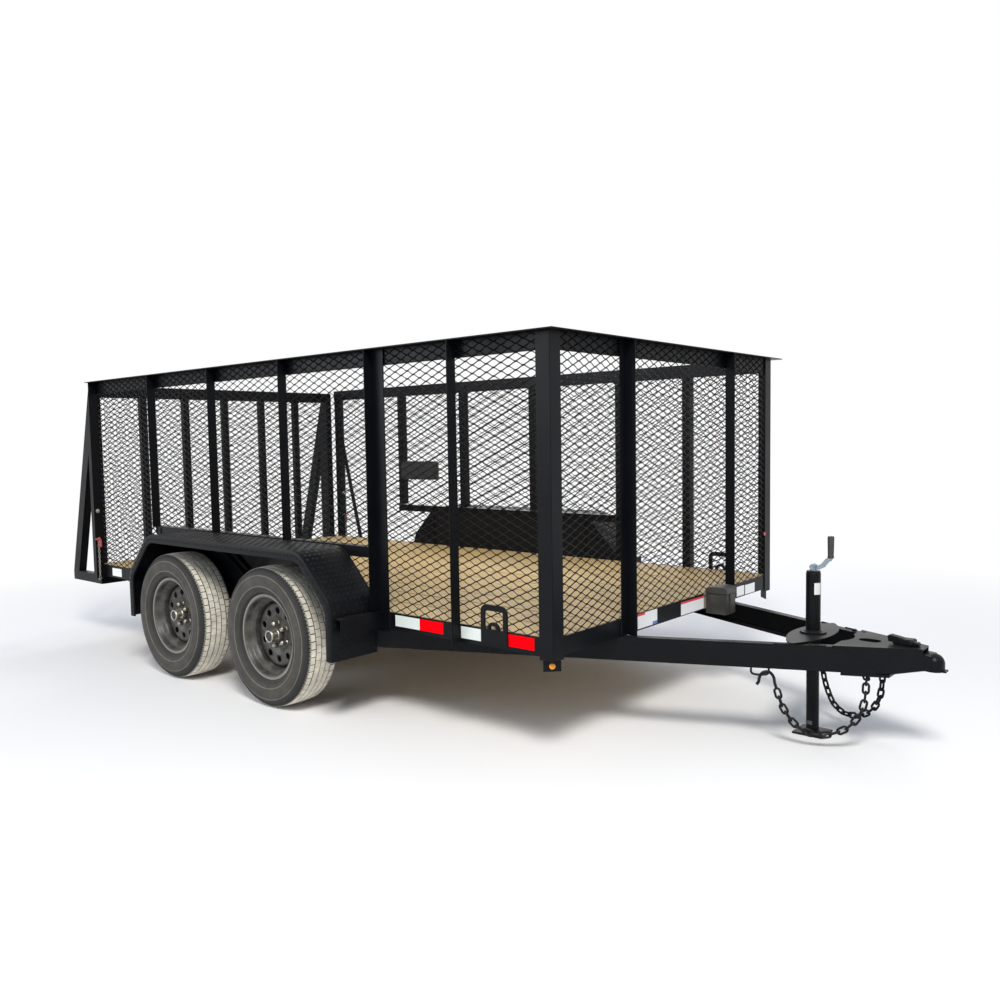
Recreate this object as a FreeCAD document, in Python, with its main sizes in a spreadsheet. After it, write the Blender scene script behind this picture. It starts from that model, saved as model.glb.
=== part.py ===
import FreeCAD, Part

import Sketcher
import math
import os
import re

# A tandem-axle landscape trailer with high expanded-metal sides and a full-height ramp gate.
# +X is forward to the coupler, +Y is left and +Z is up. The origin is on the ground, under
# the middle of the whole trailer. The trailer stands level on its four wheels and its jack.

doc = FreeCAD.newDocument("utility_trailer")
sheet = doc.addObject("Spreadsheet::Sheet", "Dims")

# Driving dimensions in millimetres, angles in degrees. Each name is a cell of the sheet.
SIZES = {
    # The bed: a frame of angle bar, its cross members and its boards.
    "bed_length": 3710,
    "bed_width": 1980,
    "rail_base": 423,
    "rail_high": 76,
    "rail_flange": 50,
    "rail_thick": 5,
    "cross_count": 7,
    "cross_flange": 50,
    "cross_thick": 5,
    "board_count": 10,
    "board_thick": 38,
    "board_gap": 6,
    # The walls: posts outside, mesh between, and an angle bar along the top.
    "wall_top": 1680,
    "top_leg_high": 76,
    "top_leg_out": 50,
    "top_thick": 5,
    "post_leg": 50,
    "post_thick": 5,
    "post_drop": 13,
    "corner_leg": 64,
    "post_pitch": 640,
    "brace_post_back": 995,
    "brace_post_flat": 76,
    "middle_post_back": 485,
    "front_post_side": 511,
    "mesh_thick": 3,
    "mesh_long": 380,
    "mesh_short": 170,
    "mesh_strand": 15,
    # The wheels, axles and springs.
    "tyre_radius": 340,
    "tyre_width": 205,
    "tyre_shoulder": 28,
    "tyre_sides": 40,
    "bead_radius": 191,
    "rim_flange_radius": 208,
    "rim_width": 153,
    "rim_thick": 4,
    "rim_well_radius": 168,
    "disc_face": 14,
    "disc_thick": 5,
    "hole_count": 10,
    "hole_radius": 16.5,
    "hole_circle": 119.5,
    "bolt_face_radius": 78,
    "wheel_out": 140,
    "axle_gap": 879,
    "axle_back": 1556,
    "axle_radius": 30,
    "spindle_radius": 17,
    "running_gap": 0.3,
    "hub_radius": 38,
    "hub_cap_out": 70,
    "drum_radius": 140,
    "drum_wide": 58,
    "drum_thick": 7,
    "plate_radius": 136,
    "spring_span": 640,
    "spring_wide": 45,
    "leaf_count": 4,
    "leaf_thick": 6,
    "leaf_step": 74,
    "spring_in": 50,
    "eye_drop": 62,
    "eye_radius": 16,
    "hanger_thick": 6,
    "hanger_wide": 60,
    # The fenders: one bent plate over both wheels of a side.
    "fender_out": 265,
    "fender_top": 780,
    "fender_forward": 85,
    "fender_half": 900,
    "fender_flat_half": 680,
    "fender_knee": 552,
    "fender_base": 305,
    "fender_thick": 3,
    "fender_lip": 45,
    "fender_bend": 130,
    "side_rail_top": 786,
    "side_rail_leg": 50,
    "fender_arm_high": 76,
    "fender_arm_deep": 45,
    "fender_arm_reach": 245,
    "stay_wide": 30,
    "stay_thick": 6,
    "stay_apart": 90,
    "stay_foot": 560,
    "stay_reach": 190,
    # The tongue, its coupler and its jack.
    "tongue_angle": 24,
    "tongue_apex": 1163,
    "tongue_front": 860,
    "tongue_high": 102,
    "tongue_flange": 41,
    "tongue_thick": 6,
    "nose_reach": 1151,
    "ball_reach": 1103,
    "ball_radius": 30.5,
    "ball_height": 372,
    "coupler_wall": 6,
    "coupler_back": 772,
    "coupler_deep": 97,
    "coupler_flap_back": 821,
    "coupler_flap_low": 938,
    "coupler_keel": 981,
    "coupler_rise": 23,
    "slot_long": 86,
    "slot_wide": 56,
    "slot_reach": 862,
    "back_notch": 120,
    "coupler_neck": 84,
    "socket_wall": 9,
    "socket_skirt": 14,
    "nose_lip_wide": 40,
    "jack_reach": 628,
    "jack_radius": 30,
    "jack_wall": 3.5,
    "jack_low": 270,
    "jack_top": 695,
    "jack_leg_wall": 4,
    "jack_leg_top": 480,
    "jack_plate_long": 170,
    "jack_plate_round": 400,
    "jack_plate_thick": 8,
    "jack_ring_radius": 54,
    "jack_ring_high": 7,
    "chain_plate_back": 800,
    "chain_plate_front": 965,
    "chain_plate_thick": 12,
    "link_long": 48,
    "link_wide": 27,
    "link_bar": 8,
    "link_bite": 1,
    "foot_long": 130,
    "foot_wide": 125,
    "foot_thick": 8,
    "crank_arm": 78,
    "crank_rise": 45,
    "grip_long": 92,
    "grip_radius": 14,
    # The gate, which is also the loading ramp.
    "hinge_back": 50,
    "hinge_height": 390,
    "gate_top": 1662,
    "gate_bar": 60,
    "gate_bar_wall": 4,
    "gate_side_gap": 5,
    "upright_wide": 46,
    "upright_deep": 38,
    "upright_pitch": 315,
    "gate_head_high": 76,
    "foot_reach": 380,
    "truss_tube": 50,
    "slant_deep": 80,
    "slant_tip": 16,
    "leg_deep": 60,
    "leg_top": 1450,
    "pin_radius": 12,
    "pin_long": 44,
    "ear_thick": 8,
    # The fittings.
    "box_out": 114,
    "box_wide": 110,
    "box_side": 245,
    "box_low": 400,
    "box_top": 535,
    "box_lid": 34,
    "box_lid_lip": 5,
    "case_long": 362,
    "case_high": 135,
    "case_deep": 50,
    "case_back": 2888,
    "case_low": 980,
    "brace_wide": 40,
    "brace_thick": 6,
    "brace_top": 1470,
    "brace_run": 246,
    "lamp_plate_wide": 70,
    "lamp_plate_high": 57,
    "lamp_plate_thick": 4,
    "lamp_plate_in": 20,
    "lamp_neck": 24,
    "lamp_radius": 12.5,
    "lamp_proud": 8,
    "tail_lamp_wide": 156,
    "tail_lamp_high": 96,
    "tail_housing": 22,
    "tail_lens": 14,
    "tail_rim": 6,
    "loop_back": 294,
    "loop_wide": 144,
    "loop_bar": 25,
    "loop_thick": 8,
    "loop_top": 600,
    "loop_round": 32,
    "ring_radius": 25,
    "ring_bar": 7,
}

for row, (alias, size) in enumerate(SIZES.items(), start=1):
    cell = "B%d" % row
    sheet.set("A%d" % row, alias)
    sheet.set(cell, str(size))
    sheet.setAlias(cell, alias)
doc.recompute()

nodes = []


def bound(text):
    """Write a sum of cell names as an expression that any object of the document can hold."""
    return re.sub(r"[a-z][a-z_]+[a-z]", lambda word: cell_name(word.group(0)), text)


def cell_name(word):
    return "Dims." + word if word in SIZES else word


def number(text):
    """The value of a sum of cell names."""
    return float(sheet.evalExpression(text))


def bind(thing, **sizes):
    for name, text in sizes.items():
        thing.setExpression(name, bound(text))


def place(thing, x, y, z):
    for axis, text in zip("xyz", (x, y, z)):
        thing.setExpression("Placement.Base." + axis, bound(text))


def block(name, x, y, z):
    """A box that runs from the first to the second value of each pair."""
    box = doc.addObject("Part::Box", name)
    bind(
        box,
        Length="(%s) - (%s)" % (x[1], x[0]),
        Width="(%s) - (%s)" % (y[1], y[0]),
        Height="(%s) - (%s)" % (z[1], z[0]),
    )
    place(box, x[0], y[0], z[0])
    return box


def rod(name, radius, length, x, y, z, along="z"):
    """A cylinder that starts at a point and runs along one axis."""
    axes = {
        "x": FreeCAD.Rotation(FreeCAD.Vector(0, 1, 0), 90),
        "y": FreeCAD.Rotation(FreeCAD.Vector(1, 0, 0), -90),
        "z": FreeCAD.Rotation(),
    }
    bar = doc.addObject("Part::Cylinder", name)
    bar.Placement = FreeCAD.Placement(FreeCAD.Vector(0, 0, 0), axes[along])
    bind(bar, Radius=radius, Height=length)
    place(bar, x, y, z)
    return bar


def fused(name, pieces):
    joined = doc.addObject("Part::MultiFuse", name)
    joined.Shapes = pieces
    joined.Refine = True
    return joined


def gathered(name, pieces):
    """Like pieces that don't touch each other, kept as one sub-part."""
    group = doc.addObject("Part::Compound", name)
    group.Links = pieces
    return group


def cut(name, base, tool):
    left = doc.addObject("Part::Cut", name)
    left.Base = base
    left.Tool = tool
    return left


def mirrored(name, source):
    """The same piece on the trailer's other side."""
    twin = doc.addObject("Part::Mirroring", name)
    twin.Source = source
    twin.Normal = FreeCAD.Vector(0, 1, 0)
    return twin


def formed(name, shape, placement=FreeCAD.Placement()):
    """A piece whose outline no primitive gives. Its sizes are read from the sheet."""
    piece = doc.addObject("Part::Feature", name)
    piece.Shape = shape
    piece.Placement = placement
    return piece


def node(piece):
    nodes.append(piece)
    return piece


def prism(points, direction):
    """A closed outline of straight sides, pushed along a direction."""
    corners = [FreeCAD.Vector(*point) for point in points]
    outline = Part.makePolygon(corners + corners[:1])
    return Part.Face(outline).extrude(FreeCAD.Vector(*direction))


# Lines that many pieces share, as sums of cells.
FRONT = "((bed_length + hinge_back + foot_reach - nose_reach) / 2)"
REAR = "(%s - bed_length)" % FRONT
RIGHT = "(-bed_width / 2)"
LEFT = "(bed_width / 2)"
RAIL_TOP = "(rail_base + rail_high)"
BOARD_UNDER = "(rail_base + rail_high - board_thick)"
AXLES = {
    "front": "(%s - axle_back)" % FRONT,
    "rear": "(%s - axle_back - axle_gap)" % FRONT,
}
WHEELS_MIDDLE = "(%s - axle_back - axle_gap / 2)" % FRONT
FENDER_MIDDLE = "(%s + fender_forward)" % WHEELS_MIDDLE
HINGE = "(%s - hinge_back)" % REAR
POST_OUT = "(bed_width / 2 + post_leg)"


def build_bed():
    """The perimeter of angle bar, the cross members and the boards that lie on them."""
    web = block("side_web", (REAR, FRONT), (RIGHT, RIGHT + " + rail_thick"), ("rail_base", RAIL_TOP))
    flange = block(
        "side_flange",
        (REAR + " + rail_thick", FRONT + " - rail_thick"),
        (RIGHT, RIGHT + " + rail_flange"),
        ("rail_base", "rail_base + rail_thick"),
    )
    right = node(fused("side_rail_right", [web, flange]))
    node(mirrored("side_rail_left", right))

    inner = (RIGHT + " + rail_thick", LEFT + " - rail_thick")
    between = (RIGHT + " + rail_flange", LEFT + " - rail_flange")
    front_web = block("front_web", (FRONT + " - rail_thick", FRONT), inner, ("rail_base", RAIL_TOP))
    front_flange = block(
        "front_flange", (FRONT + " - rail_flange", FRONT), between, ("rail_base", "rail_base + rail_thick")
    )
    node(fused("front_rail", [front_web, front_flange]))
    rear_web = block("rear_web", (REAR, REAR + " + rail_thick"), inner, ("rail_base", RAIL_TOP))
    rear_flange = block(
        "rear_flange", (REAR, REAR + " + rail_flange"), between, ("rail_base", "rail_base + rail_thick")
    )
    node(fused("rear_sill", [rear_web, rear_flange]))

    bars = []
    for index in range(1, SIZES["cross_count"] + 1):
        at = "(%s + %d * bed_length / (cross_count + 1))" % (REAR, index)
        leg = block(
            "cross_leg_%d" % index,
            (at, at + " + cross_thick"),
            inner,
            ("rail_base + rail_thick", BOARD_UNDER),
        )
        top = block(
            "cross_top_%d" % index,
            (at, at + " + cross_flange"),
            inner,
            (BOARD_UNDER + " - cross_thick", BOARD_UNDER),
        )
        bars.append(fused("cross_%d" % index, [leg, top]))
    node(gathered("crossmembers", bars))

    boards = []
    pitch = "((bed_width - 2 * rail_thick) / board_count)"
    for index in range(SIZES["board_count"]):
        start = "(%s + rail_thick + %d * %s)" % (RIGHT, index, pitch)
        boards.append(
            block(
                "board_%d" % index,
                (REAR + " + rail_thick", FRONT + " - rail_thick"),
                (start + " + board_gap / 2", start + " + " + pitch + " - board_gap / 2"),
                (BOARD_UNDER, RAIL_TOP),
            )
        )
    node(gathered("deck_boards", boards))


def angle_post(name, face, flat_end, base, flat="post_thick"):
    """A wall post: one leg stands out from the wall at a face, the other lies along it."""
    out = block(
        name + "_out",
        (face + " - post_thick", face),
        ("-" + POST_OUT, RIGHT),
        (base, "wall_top - top_thick"),
    )
    ends = (face, flat_end) if flat == "forward" else (flat_end, face)
    along = block(name + "_along", ends, (RIGHT + " - post_thick", RIGHT), (base, "wall_top - top_thick"))
    return fused(name, [out, along])


def build_walls():
    """Posts, top rails and the expanded metal of both sides and the front."""
    brace = "(%s - brace_post_back)" % FRONT
    foot = "rail_base - post_drop"
    posts = []
    for index in (1, 2, 3):
        face = "(%s - %d * post_pitch)" % (brace, index)
        posts.append(angle_post("post_%d" % index, face, face + " - post_leg", "side_rail_top"))
    posts.append(angle_post("brace_post", brace, brace + " + brace_post_flat", foot, "forward"))
    middle = "(%s - middle_post_back)" % FRONT
    posts.append(angle_post("middle_post", middle, middle + " - post_leg", foot))
    rear_face = "(%s + post_leg)" % REAR
    posts.append(angle_post("rear_post", rear_face, REAR, foot))
    corner_side = block(
        "corner_side",
        (FRONT + " - corner_leg", FRONT + " + post_thick"),
        (RIGHT + " - post_thick", RIGHT),
        (foot, "wall_top - top_thick"),
    )
    corner_front = block(
        "corner_front",
        (FRONT, FRONT + " + post_thick"),
        (RIGHT + " - post_thick", RIGHT + " + corner_leg"),
        (foot, "wall_top - top_thick"),
    )
    posts.append(fused("corner_post", [corner_side, corner_front]))
    right = node(gathered("posts_right", posts))
    node(mirrored("posts_left", right))

    front_out = block(
        "front_post_out",
        (FRONT, FRONT + " + post_leg"),
        ("-front_post_side + post_leg - post_thick", "-front_post_side + post_leg"),
        ("rail_base", "wall_top - top_thick"),
    )
    front_along = block(
        "front_post_along",
        (FRONT, FRONT + " + post_thick"),
        ("-front_post_side", "-front_post_side + post_leg"),
        ("rail_base", "wall_top - top_thick"),
    )
    near_post = fused("front_post_right", [front_out, front_along])
    far_post = mirrored("front_post_left", near_post)
    node(gathered("posts_front", [near_post, far_post]))

    edge = RIGHT + " - top_leg_out"
    inside = RIGHT + " + mesh_thick"
    upper = ("wall_top - top_thick", "wall_top")
    level = block("top_level", (REAR, FRONT + " + top_leg_out"), (edge, inside + " + top_thick"), upper)
    upright = block(
        "top_upright",
        (REAR, FRONT + " - mesh_thick"),
        (inside, inside + " + top_thick"),
        ("wall_top - top_leg_high", "wall_top"),
    )
    right = node(fused("top_rail_right", [level, upright]))
    node(mirrored("top_rail_left", right))
    across = (inside + " + top_thick", "-(" + inside + " + top_thick)")
    level = block(
        "front_level", (FRONT + " - mesh_thick - top_thick", FRONT + " + top_leg_out"), across, upper
    )
    upright = block(
        "front_upright",
        (FRONT + " - mesh_thick - top_thick", FRONT + " - mesh_thick"),
        across,
        ("wall_top - top_leg_high", "wall_top"),
    )
    node(fused("top_rail_front", [level, upright]))

    slope_rear = number("%s - fender_flat_half" % FENDER_MIDDLE)
    slope_front = number("%s + fender_flat_half" % FENDER_MIDDLE)
    rail_front = number("%s - brace_post_back - post_thick" % FRONT)
    low, high = number(RAIL_TOP), number("wall_top - top_thick")
    sill, under = number("side_rail_top"), number("side_rail_top - side_rail_leg")
    rail_rear = number("%s - 3 * post_pitch - post_leg" % brace)
    rear, front = number(REAR), number(FRONT + " - mesh_thick")
    outline = [
        (rear, low),
        (slope_rear, low),
        (slope_rear, under),
        (rail_rear, under),
        (rail_rear, sill),
        (rail_front, sill),
        (rail_front, under),
        (slope_front, under),
        (slope_front, low),
        (front, low),
        (front, high),
        (rear, high),
    ]
    along = FreeCAD.Placement(
        FreeCAD.Vector(0, number(RIGHT + " + mesh_thick"), 0),
        FreeCAD.Rotation(FreeCAD.Vector(1, 0, 0), 90),
    )
    right = node(formed("mesh_right", lattice(outline), along))
    node(mirrored("mesh_left", right))
    half = number(LEFT + " - mesh_thick")
    panel = lattice([(-half, low), (half, low), (half, high), (-half, high)])
    node(formed("mesh_front", panel, facing_forward(number(FRONT + " - mesh_thick"))))


def facing_forward(x):
    """The placement that stands a panel drawn in the XY plane across the trailer at x."""
    return FreeCAD.Placement(FreeCAD.Vector(x, 0, 0), FreeCAD.Rotation(FreeCAD.Vector(1, 1, 1), 120))


def lattice(outline):
    """A flat panel of expanded metal in the XY plane: diamonds are cut inside its border."""
    long_way, short_way = number("mesh_long"), number("mesh_short")
    strand = number("mesh_strand")
    corners = [FreeCAD.Vector(x, y, 0) for x, y in outline]
    border = Part.makePolygon(corners + corners[:1])
    room = Part.Face(border).makeOffset2D(-strand)
    left, right = min(x for x, _ in outline), max(x for x, _ in outline)
    low, high = min(y for _, y in outline), max(y for _, y in outline)
    half_long = long_way / 2 - strand * long_way / short_way / 2
    half_short = short_way / 2 - strand / 2
    diamonds = []
    for step in range(int(2 * (right - left) / long_way) + 2):
        for rung in range(int(2 * (high - low) / short_way) + 2):
            if (step + rung) % 2:
                continue
            centre = FreeCAD.Vector(left + step * long_way / 2, low + rung * short_way / 2, 0)
            tips = [(-half_long, 0), (0, -half_short), (half_long, 0), (0, half_short)]
            ring = [centre + FreeCAD.Vector(x, y, 0) for x, y in tips]
            diamonds.append(Part.Face(Part.makePolygon(ring + ring[:1])))
    openings = Part.makeCompound(diamonds).common(room)
    holes = [face.OuterWire for face in openings.Faces if face.Area > strand * strand]
    panel = Part.makeFace([border] + holes, "Part::FaceMakerCheese")
    return panel.extrude(FreeCAD.Vector(0, 0, number("mesh_thick")))


def build_fenders():
    """A bent plate over both wheels, with an outer lip and a plate against the wall."""
    middle = number(FENDER_MIDDLE)
    wall = number(RIGHT)
    outer = wall - number("fender_out")
    thick, lip, bend = number("fender_thick"), number("fender_lip"), number("fender_bend")

    def hood(inset, y_from, y_to, base):
        half, flat = number("fender_half") - inset, number("fender_flat_half") - inset * 0.4
        top, knee = number("fender_top") - inset, number("fender_knee") - inset * 0.4
        points = [(-half, base), (-half, knee), (-flat, top), (flat, top), (half, knee), (half, base)]
        solid = prism([(middle + x, y_from, z) for x, z in points], (0, y_to - y_from, 0))
        bends = [
            edge
            for edge in solid.Edges
            if abs(edge.Vertexes[0].Z - edge.Vertexes[-1].Z) < 0.01
            and abs(edge.Vertexes[0].X - edge.Vertexes[-1].X) < 0.01
            and edge.Vertexes[0].Z > base + 1
        ]
        return solid.makeFillet(max(bend - inset, 5), bends)

    base = number("fender_base")
    shell = hood(0, outer, wall, base)
    shell = shell.cut(hood(thick, outer + thick, wall - thick, base - 10))
    shell = shell.cut(hood(lip, outer - 10, outer + 2 * thick, base - 10))
    room = 2 * (number("fender_half") - thick)
    corner = FreeCAD.Vector(middle - room / 2, wall - thick, base)
    shell = shell.cut(Part.makeBox(room, thick, number("rail_base") - base, corner))
    right = node(formed("fender_right", shell.removeSplitter()))
    node(mirrored("fender_left", right))

    supports = []
    brace_face = "(%s - brace_post_back)" % FRONT
    rail_rear = "(%s - 3 * post_pitch - post_leg)" % brace_face
    upright = block(
        "wall_rail_leg",
        (rail_rear, brace_face + " - post_thick"),
        (RIGHT, RIGHT + " + post_thick"),
        ("side_rail_top - side_rail_leg", "side_rail_top"),
    )
    level = block(
        "wall_rail_level",
        (rail_rear, brace_face + " - post_thick"),
        (RIGHT, RIGHT + " + side_rail_leg"),
        ("side_rail_top - post_thick", "side_rail_top"),
    )
    supports.append(fused("wall_rail", [upright, level]))
    right = node(gathered("wall_rail_right", supports))
    node(mirrored("wall_rail_left", right))

    arms = []
    out = RIGHT + " - fender_arm_reach"
    high = ("rail_base", "rail_base + fender_arm_high")
    shelf_high = ("rail_base + fender_arm_high - rail_thick", "rail_base + fender_arm_high")
    face = "(%s + fender_half)" % FENDER_MIDDLE
    across = (out, "-" + POST_OUT)
    tip = face + " + fender_arm_deep"
    plate = block("arm_plate_front", (tip + " - rail_thick", tip), (out, RIGHT + " - post_thick"), high)
    shelf = block("arm_shelf_front", (face, tip), across, shelf_high)
    arms.append(fused("arm_front", [plate, shelf]))
    face = "(%s - fender_half)" % FENDER_MIDDLE
    across = (out, RIGHT)
    plate = block("arm_plate_rear", (face + " - rail_thick", face), across, high)
    shelf = block("arm_shelf_rear", (face + " - fender_arm_deep", face), across, shelf_high)
    arms.append(fused("arm_rear", [plate, shelf]))
    roof = number("fender_top - fender_thick")
    inside = number(RIGHT + " - fender_thick")
    foot, reach, wide = number("stay_foot"), number("stay_reach"), number("stay_wide")
    apart, stay = number("stay_apart"), number("stay_thick")
    for index, x in enumerate((-apart / 2, apart / 2)):
        at = number(WHEELS_MIDDLE) + x
        points = [
            (at, inside, foot),
            (at, inside - reach, roof - wide / 3),
            (at, inside - reach, roof),
            (at, inside - reach + wide, roof),
            (at, inside, foot + wide),
        ]
        arms.append(formed("fender_stay_%d" % index, prism(points, (stay, 0, 0))))
    right_arms = gathered("fender_arms_right", arms)
    left_arms = mirrored("fender_arms_left", right_arms)
    node(gathered("fender_arms", [right_arms, left_arms]))


def turned(name, outline, x, y, z, outward):
    """A body turned about the wheel's axle from an outline of (radius, distance outward) points."""
    body = doc.addObject("PartDesign::Body", name)
    sketch = body.newObject("Sketcher::SketchObject", name + "_outline")
    plane = [face for face in body.Origin.OriginFeatures if face.Role == "XY_Plane"][0]
    sketch.AttachmentSupport = [(plane, "")]
    sketch.MapMode = "FlatFace"
    corners = [FreeCAD.Vector(number(radius), number(out), 0) for radius, out in outline]
    for start, end in zip(corners, corners[1:] + corners[:1]):
        sketch.addGeometry(Part.LineSegment(start, end), False)
    total = len(corners)
    for index in range(total):
        sketch.addConstraint(Sketcher.Constraint("Coincident", index, 2, (index + 1) % total, 1))
    for index, (radius, out) in enumerate(outline):
        for kind, text in (("DistanceX", radius), ("DistanceY", out)):
            spot = sketch.addConstraint(Sketcher.Constraint(kind, -1, 1, index, 1, number(text)))
            sketch.setExpression("Constraints[%d]" % spot, bound(text))
    turn = body.newObject("PartDesign::Revolution", name + "_turned")
    turn.Profile = sketch
    turn.ReferenceAxis = (sketch, ["V_Axis"])
    turn.Angle = 360
    body.Tip = turn
    spin = 0 if outward > 0 else 180
    body.Placement = FreeCAD.Placement(
        FreeCAD.Vector(0, 0, 0), FreeCAD.Rotation(FreeCAD.Vector(0, 0, 1), spin)
    )
    place(body, x, y, z)
    return body


def ringed(outline, sides):
    """A ring of flat facets about the Y axis, from an outline of (radius, distance outward)."""
    rings = []
    for index in range(sides + 1):
        angle = 2 * math.pi * (index % sides) / sides
        rings.append(
            [
                FreeCAD.Vector(radius * math.cos(angle), out, radius * math.sin(angle))
                for radius, out in outline
            ]
        )
    facets = []
    for one, two in zip(rings, rings[1:]):
        for index in range(len(outline)):
            after = (index + 1) % len(outline)
            corners = [one[index], one[after], two[after], two[index]]
            facets.append(Part.Face(Part.makePolygon(corners + corners[:1])))
    return Part.makeSolid(Part.makeShell(facets))


def build_wheels():
    """Tyre, rim with its disc, and hub with its drum, for each of the four wheels."""
    bead = number("rim_width / 2 - rim_thick")
    wall, shoulder = number("tyre_width / 2"), number("tyre_shoulder")
    belly = number("(rim_flange_radius + tyre_radius) / 2")
    tyre_out = number("tyre_radius")
    bore_in = number("bead_radius / cos(180 / tyre_sides)")
    half_tyre = [
        (bore_in, bead),
        (number("rim_flange_radius + 4"), bead),
        (belly, wall),
        (tyre_out - shoulder, wall),
        (tyre_out, wall - shoulder),
    ]
    tyre = ringed([(r, -out) for r, out in half_tyre] + half_tyre[::-1], SIZES["tyre_sides"])
    well = "rim_well_radius"
    seat = "bead_radius - running_gap"
    rim = [
        ("rim_flange_radius", "-rim_width / 2"),
        ("rim_flange_radius", "-rim_width / 2 + rim_thick - running_gap"),
        (seat, "-rim_width / 2 + rim_thick - running_gap"),
        (seat, "-rim_width / 2 + 24"),
        (well, "-rim_width / 2 + 44"),
        (well, "rim_width / 2 - 44"),
        (seat, "rim_width / 2 - 24"),
        (seat, "rim_width / 2 - rim_thick + running_gap"),
        ("rim_flange_radius", "rim_width / 2 - rim_thick + running_gap"),
        ("rim_flange_radius", "rim_width / 2"),
        (seat + " - rim_thick", "rim_width / 2"),
        (seat + " - rim_thick", "rim_width / 2 - 26"),
        (well + " - rim_thick", "rim_width / 2 - 46"),
        ("rim_well_radius - 26", "disc_face + disc_thick"),
        ("bolt_face_radius + 24", "disc_face + disc_thick"),
        ("bolt_face_radius", "disc_thick"),
        ("hub_radius + running_gap", "disc_thick"),
        ("hub_radius + running_gap", "0"),
        ("bolt_face_radius + 3", "0"),
        ("bolt_face_radius + 27", "disc_face"),
        ("rim_well_radius - 28", "disc_face"),
        (well + " - rim_thick", "disc_face - 12"),
        (well + " - rim_thick", "-rim_width / 2 + 46"),
        (seat + " - rim_thick", "-rim_width / 2 + 26"),
        (seat + " - rim_thick", "-rim_width / 2"),
    ]
    bore = "spindle_radius + running_gap"
    hub = [
        (bore, "-58"),
        ("hub_radius", "-58"),
        ("hub_radius", "-drum_thick - 12"),
        ("drum_radius - drum_thick", "-drum_thick - 12"),
        ("drum_radius - drum_thick", "-drum_wide - 12"),
        ("drum_radius", "-drum_wide - 12"),
        ("drum_radius", "-12"),
        ("bolt_face_radius - 4", "-12"),
        ("bolt_face_radius - 4", "0"),
        ("hub_radius", "0"),
        ("hub_radius", "24"),
        ("hub_radius - 6", "30"),
        ("hub_radius - 6", "hub_cap_out - 6"),
        ("hub_radius - 12", "hub_cap_out"),
        ("0", "hub_cap_out"),
        ("0", "hub_cap_out - 12"),
        (bore, "hub_cap_out - 12"),
    ]
    for end, x in AXLES.items():
        for hand, side in (("right", -1), ("left", 1)):
            y = "%d * (bed_width / 2 + wheel_out)" % side
            corner = "_%s_%s" % (end, hand)
            spot = FreeCAD.Vector(number(x), number(y), number("tyre_radius"))
            node(formed("tyre" + corner, tyre, FreeCAD.Placement(spot, FreeCAD.Rotation())))
            wheel = turned("wheel_blank" + corner, rim, x, y, "tyre_radius", side)
            holes = []
            for index in range(SIZES["hole_count"]):
                turn = "(%d * 360 / hole_count)" % index
                holes.append(
                    rod(
                        "disc_hole%s_%d" % (corner, index),
                        "hole_radius",
                        "rim_width",
                        x + " + hole_circle * cos(%s)" % turn,
                        y + " - rim_width / 2",
                        "tyre_radius + hole_circle * sin(%s)" % turn,
                        "y",
                    )
                )
            node(cut("rim" + corner, wheel, gathered("disc_holes" + corner, holes)))
            node(turned("hub" + corner, hub, x, y, "tyre_radius", side))


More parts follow.
